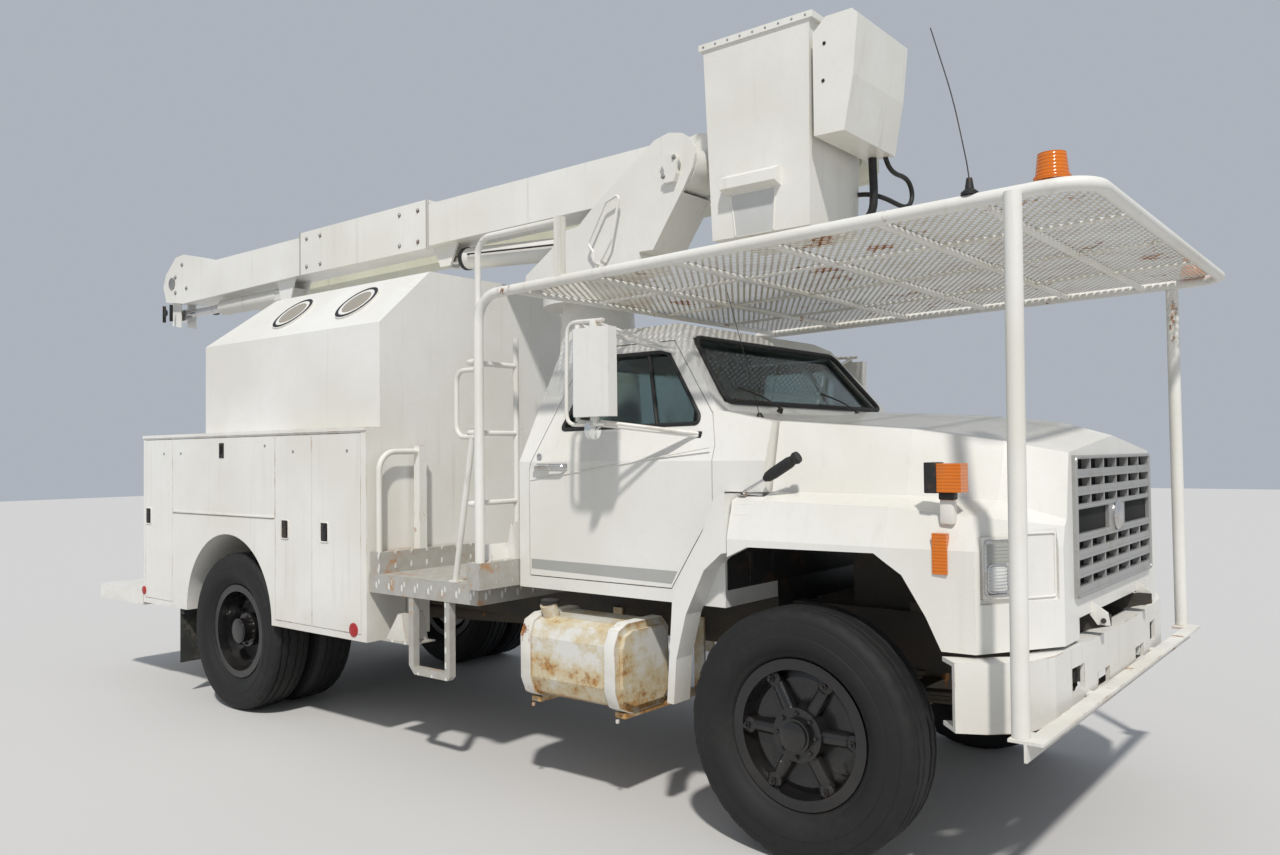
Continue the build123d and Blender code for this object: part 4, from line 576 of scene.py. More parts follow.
for side, word in SIDES:
    out = (0, side, 0)
    bm = bmesh.new()
    for x, z in wheel_spots(FRONT_X, 0.243, 6, 0.5):
        add_turned(bm, (x, side * 1.040, z), out, [(0, 0.034), (0.016, 0.034), (0.022, 0.024)], 14)
        add_nut(bm, (x, side * 1.060, z), out, 0.016, 0.018, 0.012)
    for x, z in wheel_spots(FRONT_X, 0.088, 8):
        add_nut(bm, (x, side * 1.0755, z), out, 0.010, 0.010, 0.004)
    add_turned(bm, (FRONT_X, side * 1.100, AXLE_Z), out,
               [(0, 0.058), (0.010, 0.058), (0.014, 0.050), (0.018, 0.020)], 28)
    valve = ((0.20, 1.02, 0.14), (0.185, 1.055, 0.13), (0.15, 1.062, 0.105))
    add_tube(bm, [(FRONT_X + x, side * y, AXLE_Z - z) for x, y, z in valve], 0.004)
    finish_piece(bm, f"front_clamps_{word}", "wheel_black", f"front_wheel_{word}")
    bm = bmesh.new()
    for x, z in wheel_spots(REAR_X, 0.205, 6):
        add_nut(bm, (x, side * 1.0095, z), out, 0.017, 0.020, 0.014)
    for x, z in wheel_spots(REAR_X, 0.092, 8):
        add_nut(bm, (x, side * 1.0905, z), out, 0.009, 0.010, 0.006)
    add_turned(bm, (REAR_X, side * 1.150, AXLE_Z), out, [(0, 0.070), (0.004, 0.070), (0.007, 0.060)], 24)
    finish_piece(bm, f"rear_clamps_{word}", "wheel_black", f"rear_wheels_{word}")

# Canopy mesh: two families of thin strips that cross as in expanded metal
RAIL_REAR = (1.165, 2.470)
RAIL_FRONT = (4.105, 2.535)
MESH_X = (1.420, 4.075)
MESH_Y = 1.220
MESH_CORNER = 0.081
STRAND_ANGLE = math.radians(57)
STRAND_PITCH = 0.031
STRAND_HALF = 0.0060
STRAND_THICK = 0.0013
STRAND_COUNT = 110
STRAND_START_X = 2.75


def rail_height(x):
    """The canopy rail's height at a place along the truck."""
    share = (x - RAIL_REAR[0]) / (RAIL_FRONT[0] - RAIL_REAR[0])
    return RAIL_REAR[1] + share * (RAIL_FRONT[1] - RAIL_REAR[1])


def clip_line(point, direction, limits):
    """The stretch of a line inside half planes given as (a, b, c) with a*x + b*y <= c."""
    low, high = -1e9, 1e9
    for a, b, c in limits:
        rate = a * direction[0] + b * direction[1]
        room = c - a * point[0] - b * point[1]
        if abs(rate) < 1e-12:
            if room < 0:
                return None
        elif rate > 0:
            high = min(high, room / rate)
        else:
            low = max(low, room / rate)
    return (low, high) if high - low > 0.02 else None


def make_canopy_mesh():
    """Strands in two directions, clipped to the frame, a strand's thickness apart."""
    limits = [(1, 0, MESH_X[1]), (-1, 0, -MESH_X[0]), (0, 1, MESH_Y), (0, -1, MESH_Y),
              (1, 1, MESH_X[1] + MESH_Y - MESH_CORNER), (1, -1, MESH_X[1] + MESH_Y - MESH_CORNER)]
    bm = bmesh.new()
    for sense, lift in ((1, 0.0158), (-1, 0.0170)):
        direction = (math.cos(STRAND_ANGLE), sense * math.sin(STRAND_ANGLE))
        across = (-direction[1], direction[0])
        for n in range(-STRAND_COUNT, STRAND_COUNT + 1):
            point = (STRAND_START_X + across[0] * n * STRAND_PITCH, across[1] * n * STRAND_PITCH)
            span = clip_line(point, direction, limits)
            if not span:
                continue
            ends = [(point[0] + direction[0] * t, point[1] + direction[1] * t) for t in span]
            outline = []
            for (x, y), half in ((ends[0], STRAND_HALF), (ends[1], STRAND_HALF),
                                 (ends[1], -STRAND_HALF), (ends[0], -STRAND_HALF)):
                outline.append((x + across[0] * half, y + across[1] * half, rail_height(x) + lift))
            add_sheet(bm, outline, (0, 0, STRAND_THICK))
    finish_piece(bm, "expanded_mesh", "mesh_rust_and_shade", "chassis", 0, ("canopy_mesh",))


make_canopy_mesh()

# Cab trim: window rubbers, vent window bars, door stripes, creases, handles and mirrors
BELT_Z, ROOF_EDGE_Z = 1.630, 2.267
CAB_HALF, ROOF_HALF = 1.000, 0.765


def cab_side_y(z, proud=0.0):
    """The cab side's distance from the middle at a height."""
    if z <= BELT_Z:
        return CAB_HALF + proud
    return CAB_HALF - (CAB_HALF - ROOF_HALF) * (z - BELT_Z) / (ROOF_EDGE_Z - BELT_Z) + proud


WINDOW = [(1.468, 1.790), (1.602, 2.158), (2.050, 2.158), (2.318, 1.836), (2.318, 1.800)]
for side, word in SIDES:
    door = f"door_{word}"
    bm = bmesh.new()
    ring = [(x, side * cab_side_y(z, -0.002), z) for x, z in WINDOW]
    add_tube(bm, ring, 0.011, closed=True)
    vent_top = (1.930, side * cab_side_y(2.150, -0.014), 2.150)
    vent_foot = (2.075, side * cab_side_y(1.797, -0.014), 1.797)
    add_tube(bm, [vent_top, vent_foot], 0.012)
    finish_piece(bm, f"window_rubber_{word}", "seal_rubber", door)
    bm = bmesh.new()
    stripe = [(1.305, 1.084), (2.205, 1.070), (2.238, 1.128), (1.305, 1.132)]
    add_sheet(bm, [(x, side * 1.0003, z) for x, z in stripe], (0, side * 0.0012, 0))
    finish_piece(bm, f"door_stripe_{word}", "stripe_grey", door, 0)
    bm = bmesh.new()
    add_tube(bm, [(1.300, side * 1.0005, 1.535), (1.80, side * 1.0025, 1.600), (2.425, side * 1.0005, 1.690)],
             0.0035, 8, 0.2)
    finish_piece(bm, f"door_crease_{word}", "cab_white", door)
    bm = bmesh.new()
    add_turned(bm, (1.365, side * 0.998, 1.655), (0, side, 0),
               [(0, 0.017), (0.004, 0.017), (0.006, 0.012)], 18)
    add_block(bm, (1.345, side * 0.9995, 1.585), (1.560, side * 1.004, 1.620), 0.004)
    add_tube(bm, [(1.350, side * 1.003, 1.602), (1.365, side * 1.032, 1.602), (1.545, side * 1.032, 1.606),
                  (1.557, side * 1.003, 1.606)], 0.008, 8, 0.02)
    finish_piece(bm, f"door_handle_{word}", "bright_metal", door)
    # Mirror: loop, braces, glass, the small round mirror under it and the clamps
    bm = bmesh.new()
    y = side * 1.255
    loop = ((2.030, 2.272), (1.806, 2.278), (1.800, 2.05), (1.796, 1.802), (2.030, 1.800))
    add_tube(bm, [(x, y, z) for x, z in loop], 0.0095, 8, 0.06)
    add_tube(bm, [(2.090, side * 0.800, 2.168), (1.985, y, 2.262)], 0.009)
    add_tube(bm, [(2.345, side * 0.946, 1.752), (2.005, y, 1.812)], 0.009)
    add_block(bm, (1.952, y - 0.012, 2.236), (1.990, y + 0.012, 2.274), 0.004)
    add_block(bm, (1.952, y - 0.012, 1.802), (1.990, y + 0.012, 1.840), 0.004)
    finish_piece(bm, f"mirror_loop_{word}", "guard_white", door)
    bm = bmesh.new()
    add_block(bm, (1.8610, y - 0.027, 1.843), (1.8665, y + 0.027, 2.232), 0.002)
    add_turned(bm, (1.945, y - side * 0.004, 1.775), (-1, 0, 0),
               [(-0.030, 0.012), (-0.022, 0.044), (0.0, 0.047), (0.004, 0.043)], 24)
    finish_piece(bm, f"mirror_glass_{word}", "mirror_glass", door)
    bm = bmesh.new()
    add_tube(bm, [(1.958, y, 1.812), (1.965, y, 1.782)], 0.006)
    add_block(bm, (2.322, side * 0.950 - 0.012, 1.722), (2.352, side * 0.950 + 0.012, 1.764), 0.004)
    finish_piece(bm, f"mirror_clamps_{word}", "black_metal", door)

# Windscreen and rear window rubbers, and the wipers
SHIELD = [(2.3905, -0.812, 1.903), (2.3905, 0.812, 1.903), (2.1355, 0.706, 2.230), (2.1355, -0.706, 2.230)]
REAR_WINDOW = [(1.2435, -0.520, 1.760), (1.2435, 0.520, 1.760), (1.3105, 0.480, 2.140),
               (1.3105, -0.480, 2.140)]
bm = bmesh.new()
add_tube(bm, SHIELD, 0.013, 8, 0.06, closed=True)
add_tube(bm, REAR_WINDOW, 0.010, 8, 0.05, closed=True)
finish_piece(bm, "windscreen_rubber", "seal_rubber", "chassis")

bm = bmesh.new()
for pivot_y, tip_y in ((-0.42, -0.76), (0.40, 0.06)):
    base = Vector((2.445, pivot_y, 1.868))
    arm_end = Vector((2.352, (pivot_y + tip_y) / 2 - 0.05, 1.976))
    add_turned(bm, base - Vector((0.006, 0, 0.008)), (0.5, 0, 0.86),
               [(0, 0.016), (0.02, 0.013), (0.024, 0.008)], 14)
    elbow = base.lerp(arm_end, 0.5) + Vector((0.014, 0, 0.012))
    add_tube(bm, [base + Vector((0, 0, 0.012)), elbow, arm_end], 0.004, 6)
    add_tube(bm, [(2.404, pivot_y - 0.02, 1.907), (2.404, tip_y, 1.912)], 0.006, 6)
finish_piece(bm, "wipers", "black_metal", "chassis")

# Hood latches: a bent rod on a foot with a rubber grip
for side, word in SIDES:
    bm = bmesh.new()
    y = side * 1.045
    add_tube(bm, [(2.700, side * 1.000, 1.484), (2.620, y, 1.492), (2.750, y, 1.560)], 0.006, 8, 0.02)
    add_block(bm, (2.596, side * 1.006, 1.478), (2.640, side * 1.050, 1.4835), 0.003)
    finish_piece(bm, f"hood_latch_rod_{word}", "bright_metal", "hood")
    bm = bmesh.new()
    add_turned(bm, (2.735, y, 1.552), (0.866, 0, 0.5),
               [(0, 0.012), (0.02, 0.022), (0.05, 0.025), (0.14, 0.025), (0.16, 0.020), (0.175, 0.027),
                (0.190, 0.024)], 16)
    finish_piece(bm, f"hood_latch_grip_{word}", "seal_rubber", "hood")

# Headlamps: case, chrome bezel, vent and clear lens in the corner recess
CORNER_OUT = Vector((3.640, 1.096, 1.237))
CORNER_IN = Vector((3.850, 0.748, 1.237))
LENS_ROWS = 12
LENS_HALF_UP, LENS_HALF_ALONG = 0.047, 0.043
LENS_BULGE = 0.008
LENS_PINCH = 0.16
for side, word in SIDES:
    outer = Vector((CORNER_OUT.x, side * CORNER_OUT.y, CORNER_OUT.z))
    inner = Vector((CORNER_IN.x, side * CORNER_IN.y, CORNER_IN.z))
    along = (inner - outer).normalized()
    face = Vector((abs(outer.y - inner.y), side * abs(outer.x - inner.x), 0)).normalized()
    up = Vector(UP)
    lamp = outer + along * 0.102

    def corner_points(centre, half_a, half_z, depth):
        """A rectangle on the recess, given by its centre, its halves and its depth from the outer face."""
        return [centre + along * a * half_a + up * z * half_z + face * depth for a, z in SQUARE]

    def corner_plate(bm, mid_a, mid_z, half_a, half_z, low, high):
        """A plate square to the recess, placed from the lamp's middle."""
        centre = lamp + along * mid_a + up * mid_z
        add_sheet(bm, corner_points(centre, half_a, half_z, low), face * (high - low))

    bm = bmesh.new()
    for sign in (-1, 1):
        corner_plate(bm, sign * 0.0650, 0, 0.0010, 0.1125, -0.058, 0.0012)
        corner_plate(bm, 0, sign * 0.1118, 0.0660, 0.0010, -0.058, 0.0012)
    corner_plate(bm, 0, 0, 0.0655, 0.1115, 0.0002, 0.0010)
    finish_piece(bm, f"headlamp_case_{word}", "cab_white", "hood")
    bm = bmesh.new()
    add_tube(bm, corner_points(lamp, 0.054, 0.098, 0.0022), 0.005, 8, 0.012, closed=True)
    add_tube(bm, corner_points(lamp - up * 0.038, 0.046, 0.050, 0.003), 0.0045, 8, 0.02, closed=True)
    finish_piece(bm, f"headlamp_bezel_{word}", "bright_metal", "hood")
    bm = bmesh.new()
    corner_plate(bm, 0, 0.052, 0.049, 0.036, 0.0011, 0.0024)
    for n in range(5):
        corner_plate(bm, 0, 0.026 + 0.013 * n, 0.047, 0.0022, 0.0023, 0.0040)
    finish_piece(bm, f"headlamp_vent_{word}", "stripe_grey", "hood")
    bm = bmesh.new()
    grid = []
    for i in range(LENS_ROWS + 1):
        line = []
        for j in range(LENS_ROWS + 1):
            u, v = i / LENS_ROWS * 2 - 1, j / LENS_ROWS * 2 - 1
            pull = 1 - LENS_PINCH * (u * v) ** 2
            bulge = LENS_BULGE * (1 - u * u) * (1 - v * v)
            place = up * (-0.038 + u * LENS_HALF_UP * pull) + along * v * LENS_HALF_ALONG * pull
            line.append(bm.verts.new(lamp + place + face * (0.0018 + bulge)))
        grid.append(line)
    for one, two in zip(grid, grid[1:]):
        for j in range(LENS_ROWS):
            bm.faces.new((one[j], one[j + 1], two[j + 1], two[j]))
    bmesh.ops.solidify(bm, geom=bm.faces[:], thickness=0.0008)
    finish_piece(bm, f"headlamp_lens_{word}", "clear_lens", "hood")
    bm = bmesh.new()
    add_tube(bm, corner_points(outer + along * 0.272, 0.104, 0.118, -0.0105), 0.004, 8, 0.012, closed=True)
    finish_piece(bm, f"lamp_pocket_{word}", "cab_white", "hood")
    # Turn lamp: dark back shell with its foot, and the white stalk
    bm = bmesh.new()
    add_block(bm, (3.464, side * 1.036, 1.508), (3.512, side * 1.116, 1.622), 0.004)
    add_block(bm, (3.507, side * 1.041, 1.484), (3.565, side * 1.085, 1.511), 0.004)
    finish_piece(bm, f"turn_lamp_shell_{word}", "black_metal", "hood")
    bm = bmesh.new()
    add_block(bm, (3.508, side * 1.042, 1.392), (3.564, side * 1.084, 1.485), 0.010)
    finish_piece(bm, f"turn_lamp_stalk_{word}", "cab_white", "hood")

# Grille: a near-black sheet behind the bars as painted shade of the grille's depth, grey surround with ribs
# and a plain round boss
bm = bmesh.new()
add_block(bm, (3.822, -0.612, 1.096), (3.8275, 0.612, 1.634), 0.001)
finish_piece(bm, "grille_depth_shade", "grille_dark", "hood")
bm = bmesh.new()
for y0, y1 in ((-0.596, -0.132), (0.132, 0.596)):
    add_block(bm, (3.8445, y0, 1.336), (3.8475, y1, 1.428), 0.001)
finish_piece(bm, "grille_panels", "grille_dark", "hood")
bm = bmesh.new()
add_tube(bm, [(3.8625, a * 0.612, z) for a, z in ((-1, 1.097), (1, 1.097), (1, 1.633), (-1, 1.633))],
         0.0075, 8, 0.02, closed=True)
for z in (1.1720, 1.2420, 1.3120, 1.4400, 1.4900, 1.5580):
    add_block(bm, (3.8605, -0.598, z - 0.006), (3.8665, 0.598, z + 0.006), 0.002)
finish_piece(bm, "grille_surround", "grille_grey", "hood")
bm = bmesh.new()
add_turned(bm, (3.8600, 0, 1.382), (1, 0, 0), [(0, 0.066), (0.008, 0.066), (0.012, 0.062), (0.0125, 0.050),
                                              (0.0165, 0.030), (0.0175, 0.008)], 40)
finish_piece(bm, "grille_boss", "bright_metal", "hood")

# Locker latches, the drop door's handle and sill, side reflectors and lock plugs
LATCHES = (("rear", -2.432, 1.248), ("mid", -0.632, 1.220), ("front", -0.210, 1.219))
KEY_PLUGS = ((-2.20, 1.70), (-1.95, 1.70), (-0.86, 1.74), (-0.54, 1.70), (0.02, 1.70))
LATCH_HALF = (0.040, 0.058)
for side, word in SIDES:
    out = (0, side, 0)
    for label, x, z in LATCHES:
        body = f"locker_{label}_{word}"
        bm = bmesh.new()
        add_tube(bm, [(x + a * LATCH_HALF[0], side * 1.2165, z + c * LATCH_HALF[1]) for a, c in SQUARE],
                 0.0045, 8, 0.012, closed=True)
        finish_piece(bm, f"latch_frame_{label}_{word}", "body_white", body)
        bm = bmesh.new()
        add_block(bm, (x - 0.036, side * 1.2148, z - 0.054), (x + 0.036, side * 1.2162, z + 0.054), 0.0005)
        add_block(bm, (x - 0.024, side * 1.2155, z - 0.044), (x + 0.024, side * 1.2235, z + 0.022), 0.004)
        add_turned(bm, (x, side * 1.2155, z + 0.037), out, [(0, 0.010), (0.004, 0.010), (0.005, 0.008)], 16)
        finish_piece(bm, f"latch_paddle_{label}_{word}", "black_metal", body)
    bm = bmesh.new()
    add_block(bm, (-1.425, side * 1.2148, 1.665), (-1.365, side * 1.2185, 1.765), 0.002)
    add_tube(bm, [(-1.395, side * 1.2175, 1.742), (-1.395, side * 1.2265, 1.742)], 0.007, 10)
    add_tube(bm, [(-1.395, side * 1.2250, 1.752), (-1.395, side * 1.2250, 1.690)], 0.0055)
    finish_piece(bm, f"drop_door_handle_{word}", "black_metal", f"locker_drop_{word}")
    bm = bmesh.new()
    add_block(bm, (-2.066, side * 1.2148, 1.284), (-0.752, side * 1.2225, 1.298), 0.003)
    finish_piece(bm, f"drop_door_sill_{word}", "body_white", f"locker_drop_{word}")
    bm = bmesh.new()
    for x, z, radius, rim in ((0.078, 0.672, 0.040, 0.034), (-2.500, 0.700, 0.030, 0.026)):
        add_turned(bm, (x, side * 1.2152, z), out,
                   [(0, radius), (0.004, radius), (0.006, rim), (0.007, 0.01)], 28)
    finish_piece(bm, f"side_reflectors_{word}", "red_lens", "chassis")
    bm = bmesh.new()
    for x, z in KEY_PLUGS:
        add_turned(bm, (x, side * 1.2150, z), out, [(0, 0.009), (0.0025, 0.009), (0.0035, 0.006)], 14)
    finish_piece(bm, f"key_plugs_{word}", "zinc", "chassis")

# Inspection ports on the box's sloped sides: dark rims and beige discs
SLOPE_FOOT = (1.118, 2.445)
SLOPE_TOP = (0.747, 2.785)
PORT_Z = 2.620
slope_y, slope_z = SLOPE_FOOT[0] - SLOPE_TOP[0], SLOPE_TOP[1] - SLOPE_FOOT[1]
port_y = SLOPE_FOOT[0] - (PORT_Z - SLOPE_FOOT[1]) * slope_y / slope_z
for side, word in SIDES:
    bm = bmesh.new()
    bm_disc = bmesh.new()
    normal = Vector((0, side * slope_z, slope_y))
    for x in (-0.990, -0.280):
        centre = (x, side * port_y, PORT_Z)
        add_turned(bm, centre, normal, [(0.001, 0.158), (0.0115, 0.158), (0.0135, 0.150), (0.0135, 0.132),
                                        (0.0095, 0.130)], 48)
        add_turned(bm_disc, centre, normal, [(0.001, 0.131), (0.0105, 0.131), (0.0125, 0.10),
                                             (0.0135, 0.02)], 48)
    finish_piece(bm, f"port_rims_{word}", "seal_rubber", "chassis")
    finish_piece(bm_disc, f"port_discs_{word}", "port_beige", "chassis")

# Boom fittings: sleeve bolts and edges, elbow bolts and pin cap, and the lift barrel's collars and pipe
bm = bmesh.new()
for x in (-1.80, -1.62, -0.66, -0.46):
    for z in (3.130, 3.345):
        add_nut(bm, (x, -0.310, z), RIGHT, 0.011, 0.009, 0.003)
for x, z in ((-3.90, 3.30), (-3.78, 3.40), (-3.90, 3.16), (-3.70, 3.18)):
    add_nut(bm, (x, -0.300, z), RIGHT, 0.013, 0.010, 0.003)
add_turned(bm, (-3.96, -0.300, 3.25), RIGHT, [(0, 0.052), (0.010, 0.052), (0.014, 0.044), (0.015, 0.02)], 28)
finish_piece(bm, "boom_bolts", "zinc", "lower_boom")
bm = bmesh.new()
for y in (-0.312, -0.298):
    for x in (-1.895, -0.372):
        edge = [(x, y, 3.070), (x + 0.010, y, 3.070), (x + 0.010, y, 3.405), (x, y, 3.405)]
        add_sheet(bm, edge, (0, -0.002, 0))
finish_piece(bm, "sleeve_edges", "stripe_grey", "lower_boom")

cylinder_way = Vector((-0.998079, 0, 0.061950))
barrel_start = Vector((1.190, -0.180, 2.905))
BARREL_RADIUS = 0.0725
bm = bmesh.new()
for place, bulge, width in ((1.272, 0.0765, 0.034), (0.10, 0.0755, 0.020)):
    add_turned(bm, barrel_start + cylinder_way * place, cylinder_way,
               [(0, BARREL_RADIUS), (0.004, bulge), (width, bulge), (width + 0.004, BARREL_RADIUS)], 36)
pipe = [(0.18, -0.074, 0.010), (0.18, -0.088, 0.012), (1.20, -0.088, 0.012), (1.20, -0.070, 0.012)]
add_tube(bm, [barrel_start + cylinder_way * t + Vector((0, y, z)) for t, y, z in pipe], 0.006, 8, 0.012)
finish_piece(bm, "lift_barrel_collars", "black_metal", "lift_barrel")

# Turret: pin cap with two bolts, and the ring of bolts round its foot
TURRET_X = 0.900
RING_RADIUS = 0.315
RING_BOLTS = 24
bm = bmesh.new()
add_turned(bm, (1.740, -0.326, 3.230), RIGHT,
           [(0, 0.050), (0.009, 0.050), (0.013, 0.043), (0.0135, 0.02)], 32)
for x, z in ((1.690, 3.175), (1.764, 3.268)):
    add_nut(bm, (x, -0.353, z), RIGHT, 0.010, 0.009, 0.004)
for n in range(RING_BOLTS):
    a = math.radians(360 / RING_BOLTS * (n + 0.5))
    place = (TURRET_X + RING_RADIUS * math.cos(a), RING_RADIUS * math.sin(a), 2.7161)
    add_nut(bm, place, UP, 0.012, 0.012, 0.006)
finish_piece(bm, "turret_bolts", "zinc", "turret")

# The bucket's cover: dark bolts and the red lever
bm = bmesh.new()
for x, z in ((2.647, 3.672), (2.638, 3.488)):
    add_turned(bm, (x, -0.2900, z), RIGHT, [(0, 0.009), (0.003, 0.009), (0.005, 0.006)], 14)
finish_piece(bm, "cover_bolts", "black_metal", "bucket")
bm = bmesh.new()
add_tube(bm, [(2.700, 0.232, 3.735), (2.700, 0.262, 3.740), (2.705, 0.285, 3.748)], 0.008)
add_turned(bm, (2.705, 0.272, 3.745), (0.1, 1, 0.25),
           [(0, 0.010), (0.012, 0.018), (0.026, 0.018), (0.034, 0.008)], 16)
finish_piece(bm, "red_lever", "red_lens", "bucket")

# Fuel tanks: caps, and white bands over the CAD straps
for side, word in SIDES:
    bm = bmesh.new()
    add_turned(bm, (1.475, side * 1.044, 0.926), UP,
               [(0, 0.047), (0.014, 0.047), (0.018, 0.040), (0.019, 0.012)], 28)
    finish_piece(bm, f"tank_cap_{word}", "black_metal", "chassis")

TANK_MIDDLE = (0.950, 0.666)
TANK_HALF = (0.190, 0.196)
TANK_SECTION = [(0.760, 0.520), (0.810, 0.470), (1.040, 0.470), (1.110, 0.502), (1.140, 0.575),
                (1.140, 0.772), (1.112, 0.836), (1.050, 0.862), (0.810, 0.862), (0.760, 0.812)]
STRAP_X = (1.378, 1.925)
STRAP_WIDTH = 0.062
STRAP_PROFILE = ((-0.001, 0.010), (-0.001, 0.0138), (0.004, 0.0148), (STRAP_WIDTH - 0.004, 0.0148),
                 (STRAP_WIDTH + 0.001, 0.0138), (STRAP_WIDTH + 0.001, 0.010))
for side, word in SIDES:
    bm = bmesh.new()
    for x in STRAP_X:
        rings = []
        for place, stand in STRAP_PROFILE:
            ring = []
            for y, z in TANK_SECTION:
                out_y = y + stand * (y - TANK_MIDDLE[0]) / TANK_HALF[0]
                out_z = z + stand * (z - TANK_MIDDLE[1]) / TANK_HALF[1]
                ring.append(bm.verts.new((x + place, side * out_y, out_z)))
            rings.append(ring)
        add_skin(bm, rings, closed=True)
        add_turned(bm, (x + STRAP_WIDTH / 2, side * 1.100, 0.434), (0, 0, -1),
                   [(0, 0.009), (0.016, 0.009)], 6)
    finish_piece(bm, f"tank_straps_{word}", "guard_white", "chassis")

# Bucket: a grey sheet under the step as painted shadow of the step pad, with raised edges along its sides,
# and the lip's rivets
BUCKET_TOP_Z = 3.860
BUCKET_TOP_Y = -0.282
BUCKET_TAPER = 0.028 / 1.060
STEP_FOOT_Z = 3.020
PANEL_FOOT_Z = 2.806


def on_bucket_wall(x, z, proud=0.0):
    """A point on the bucket's tapered right wall."""
    return (x, BUCKET_TOP_Y + BUCKET_TAPER * (BUCKET_TOP_Z - z) - proud, z)


bm = bmesh.new()
for x_top, x_low in ((2.070, 2.090), (2.340, 2.320)):
    add_tube(bm, [on_bucket_wall(x_top, STEP_FOOT_Z), on_bucket_wall(x_low, PANEL_FOOT_Z)], 0.0055)
finish_piece(bm, "bucket_panel_edges", "bucket_white", "bucket")
# Grey sheet on the wall under the step: painted shadow of the step pad
bm = bmesh.new()
panel = [(2.072, STEP_FOOT_Z), (2.338, STEP_FOOT_Z), (2.318, PANEL_FOOT_Z), (2.092, PANEL_FOOT_Z)]
add_sheet(bm, [on_bucket_wall(x, z, 0.0002) for x, z in panel], (0, -0.0006, 0))
finish_piece(bm, "bucket_panel", "pad_shadow_grey", "bucket", 0)
bm = bmesh.new()
for n in range(9):
    add_turned(bm, (1.925 + 0.0775 * n, -0.2925, 3.843), RIGHT,
               [(0, 0.006), (0.0015, 0.006), (0.003, 0.003)], 10)
finish_piece(bm, "bucket_lip_rivets", "zinc", "bucket")

# Hoses under the cover: a thick one down to the bucket's wall and a thin loop


def make_cord(name, points, diameter):
    """A hose as a smooth curve along chosen points, both ends in the bucket's body."""
    curve = bpy.data.curves.new(name, "CURVE")
    curve.dimensions = "3D"
    spline = curve.splines.new("NURBS")
    spline.points.add(len(points) - 1)
    for target, place in zip(spline.points, points):
        target.co = (*place, 1.0)
    spline.order_u = 3
    spline.use_endpoint_u = True
    spline.resolution_u = 10
    curve.bevel_depth = diameter / 2
    curve.bevel_resolution = 5
    curve.use_fill_caps = True
    curve.materials.append(MATERIALS["hose_rubber"])
    piece = add_object(name, curve)
    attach(piece, "bucket")


THICK_ROUTE = [(2.640, 0.240, 3.2225), (2.640, 0.241, 3.170), (2.642, 0.244, 3.100), (2.642, 0.246, 3.020),
               (2.636, 0.246, 2.950), (2.606, 0.244, 2.905), (2.570, 0.240, 2.892), (2.5345, 0.238, 2.890)]
LOOP_ROUTE = [(2.700, 0.270, 3.2225), (2.702, 0.290, 3.190), (2.705, 0.330, 3.165), (2.708, 0.390, 3.155),
              (2.710, 0.460, 3.160), (2.712, 0.530, 3.150), (2.712, 0.575, 3.110), (2.712, 0.580, 3.060),
              (2.710, 0.545, 3.015), (2.706, 0.480, 2.995), (2.696, 0.410, 3.000), (2.670, 0.350, 3.020),
              (2.625, 0.305, 3.040), (2.575, 0.280, 3.050), (2.5385, 0.272, 3.050)]
make_cord("hose_thick", THICK_ROUTE, 0.044)
make_cord("hose_loop", LOOP_ROUTE, 0.026)

# Elbow: dark guide plates and a pin cap below the boom's rear end
bm = bmesh.new()
for x in (-4.085, -3.955):
    add_block(bm, (x, -0.330, 2.905), (x + 0.012, -0.302, 3.055), 0.002)
add_turned(bm, (-4.020, -0.326, 2.985), RIGHT, [(0, 0.030), (0.008, 0.030), (0.012, 0.022)], 20)
finish_piece(bm, "elbow_guides", "black_metal", "elbow_link")

# Wheel arches: a dark splash panel before the cab, black as painted shade for the inside of the arch, and
# strips that close the slots in the hood's sides
# Black sheet with ribs behind the front wheels: painted shade for the inside of the arch
bm = bmesh.new()
add_block(bm, (2.4990, -0.985, 1.060), (2.5042, 0.985, 1.425), 0.001)
add_block(bm, (2.4990, -0.560, 0.935), (2.5042, 0.560, 1.061), 0.0003)
for y in (-0.80, -0.62, 0.62, 0.80):
    add_block(bm, (2.5035, y - 0.012, 1.070), (2.5100, y + 0.012, 1.405), 0.002)
finish_piece(bm, "arch_shade_panel", "black_metal", "chassis")
for side, word in SIDES:
    bm = bmesh.new()
    strip = [(x, side * y, z) for (y, z), ends in (((1.0945, 1.391), (2.5915, 2.7530)),
                                                   ((1.0797, 1.446), (2.7530, 2.5915))) for x in ends]
    add_sheet(bm, strip, (0, -side * 0.0014, 0))
    finish_piece(bm, f"hood_closing_strip_{word}", "cab_white", "hood", 0)

# Chocks: white wedges, two on the deck beside the ladder and one on a shelf by the step


def add_wedge(bm, base, length, width, height):
    """A wedge chock: length along X, width along Y and height."""
    outline = [(0, 0, 0), (length, 0, 0), (length * 0.78, 0, height), (length * 0.60, 0, height)]
    add_sheet(bm, [Vector(base) + Vector(point) for point in outline], (0, width, 0))


bm = bmesh.new()
add_wedge(bm, (0.968, -1.130, 1.0035), 0.215, 0.140, 0.200)
add_wedge(bm, (1.130, -1.020, 1.1255), 0.072, 0.150, 0.190)
add_wedge(bm, (0.330, -1.180, 0.6425), 0.180, 0.150, 0.150)
finish_piece(bm, "chocks", "bumper_white", "chassis", 0)
bm = bmesh.new()
add_block(bm, (0.300, -1.190, 0.632), (0.562, -1.020, 0.642), 0.002)
add_block(bm, (0.300, -1.030, 0.632), (0.312, -1.020, 0.990), 0.002)
finish_piece(bm, "chock_shelf", "deck_plate", "chassis")

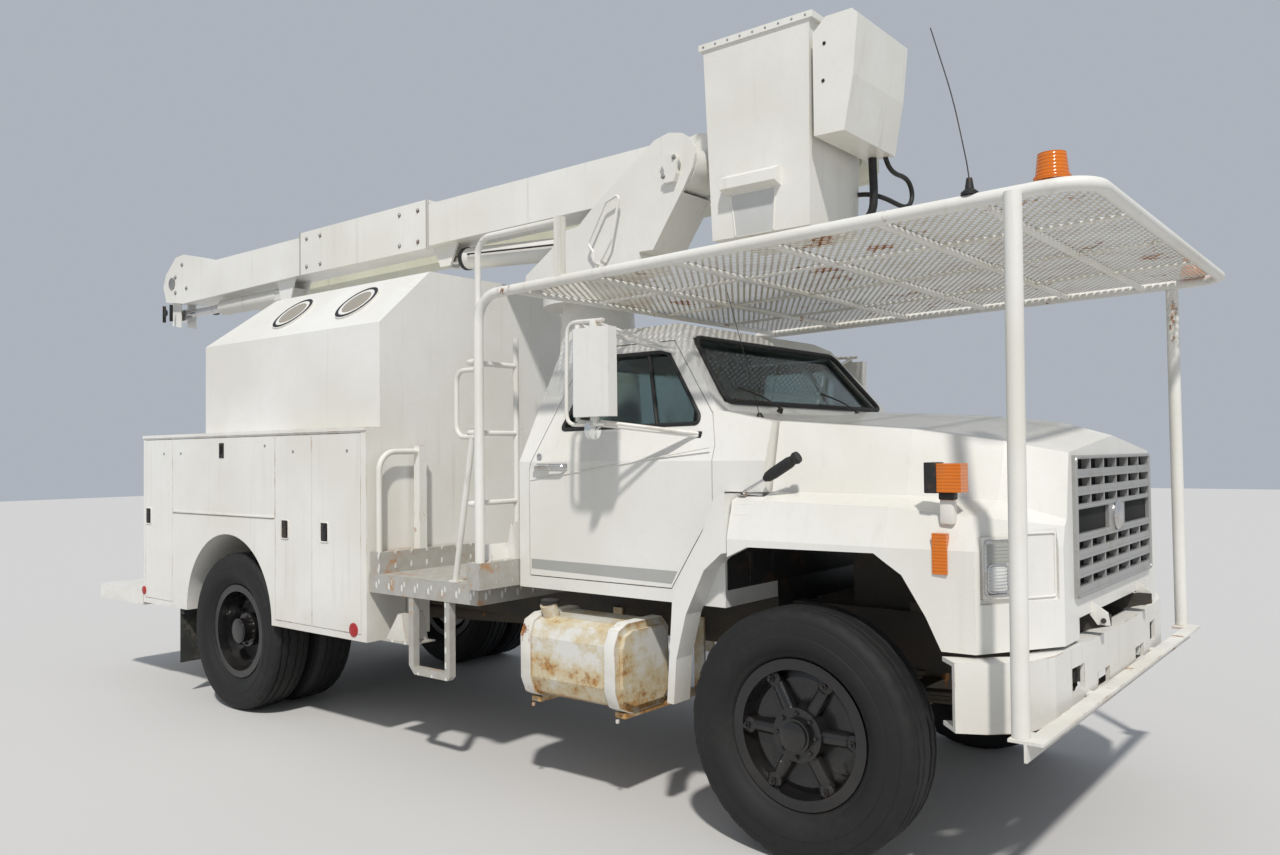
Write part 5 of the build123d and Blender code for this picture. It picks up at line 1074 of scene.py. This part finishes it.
# Aerials: a whip on the canopy's right rail and a thin one on the cowl
bm = bmesh.new()
add_turned(bm, (3.707, -1.250, 2.548), UP, [(0, 0.030), (0.010, 0.030), (0.022, 0.016), (0.060, 0.010)], 20)
add_tube(bm, [(3.707, -1.250, 2.60), (3.700, -1.250, 2.66), (3.655, -1.250, 2.90), (3.578, -1.250, 3.17)],
         0.0022, 6, 0.1)
finish_piece(bm, "canopy_aerial", "black_metal", "chassis")
bm = bmesh.new()
add_turned(bm, (2.596, -0.850, 1.812), (-0.1, 0, 1), [(0, 0.020), (0.010, 0.018), (0.030, 0.008)], 18)
add_tube(bm, [(2.593, -0.850, 1.835), (2.520, -0.850, 2.10), (2.430, -0.850, 2.40)], 0.0016, 6, 0.1)
finish_piece(bm, "cowl_aerial", "black_metal", "chassis")

# Bench seat: crowned cushions with sewn channels
CUSHION_CHANNELS = [n / 10 for n in range(1, 10)]
CHANNEL_HALF, CHANNEL_DEPTH = 0.006, 0.012
CUSHION_GRID = (26, 64)


def make_cushion(name, low, high, crown, lean=0.0):
    """A crowned closed form between two corners, with channels across it."""
    bm = bmesh.new()
    nx, ny = CUSHION_GRID
    size = Vector(high) - Vector(low)
    rings = {}
    for face in (0, 1):
        for i in range(nx + 1):
            for j in range(ny + 1):
                u, v = i / nx, j / ny
                round_u = 1 - (2 * u - 1) ** 6
                round_v = 1 - (2 * v - 1) ** 10
                swell = (round_u * round_v) ** 0.5
                share = sum(math.exp(-((v - c) / CHANNEL_HALF) ** 2) for c in CUSHION_CHANNELS)
                groove = share * CHANNEL_DEPTH
                height = size.z * (0.5 + (0.5 if face else -0.5) * swell)
                if face:
                    height += crown * swell * (1 - (2 * u - 1) ** 2) - groove * swell
                place = Vector((low[0] + size.x * u, low[1] + size.y * v, low[2] + height))
                if lean:
                    pivot = Vector((low[0], 0, low[2]))
                    place = pivot + Matrix.Rotation(lean, 3, "Y") @ (place - pivot)
                rings[face, i, j] = bm.verts.new(place)
        for i in range(nx):
            for j in range(ny):
                bm.faces.new((rings[face, i, j], rings[face, i + 1, j], rings[face, i + 1, j + 1],
                              rings[face, i, j + 1]))
    bmesh.ops.remove_doubles(bm, verts=bm.verts, dist=0.0004)
    piece = finish_piece(bm, name, "seat_cloth", "chassis", 60.0)
    return piece


seat_cushion = make_cushion("seat_cushion", (1.46, -0.675, 1.185), (1.995, 0.675, 1.325), 0.018)
make_cushion("seat_back", (1.545, -0.675, 1.330), (2.055, 0.675, 1.420), 0.014, math.radians(-100))
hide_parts("bench_seat")
bm = bmesh.new()
add_block(bm, (1.450, -0.660, 1.022), (1.950, 0.660, 1.180), 0.010)
finish_piece(bm, "seat_base", "dash_plastic", "chassis")
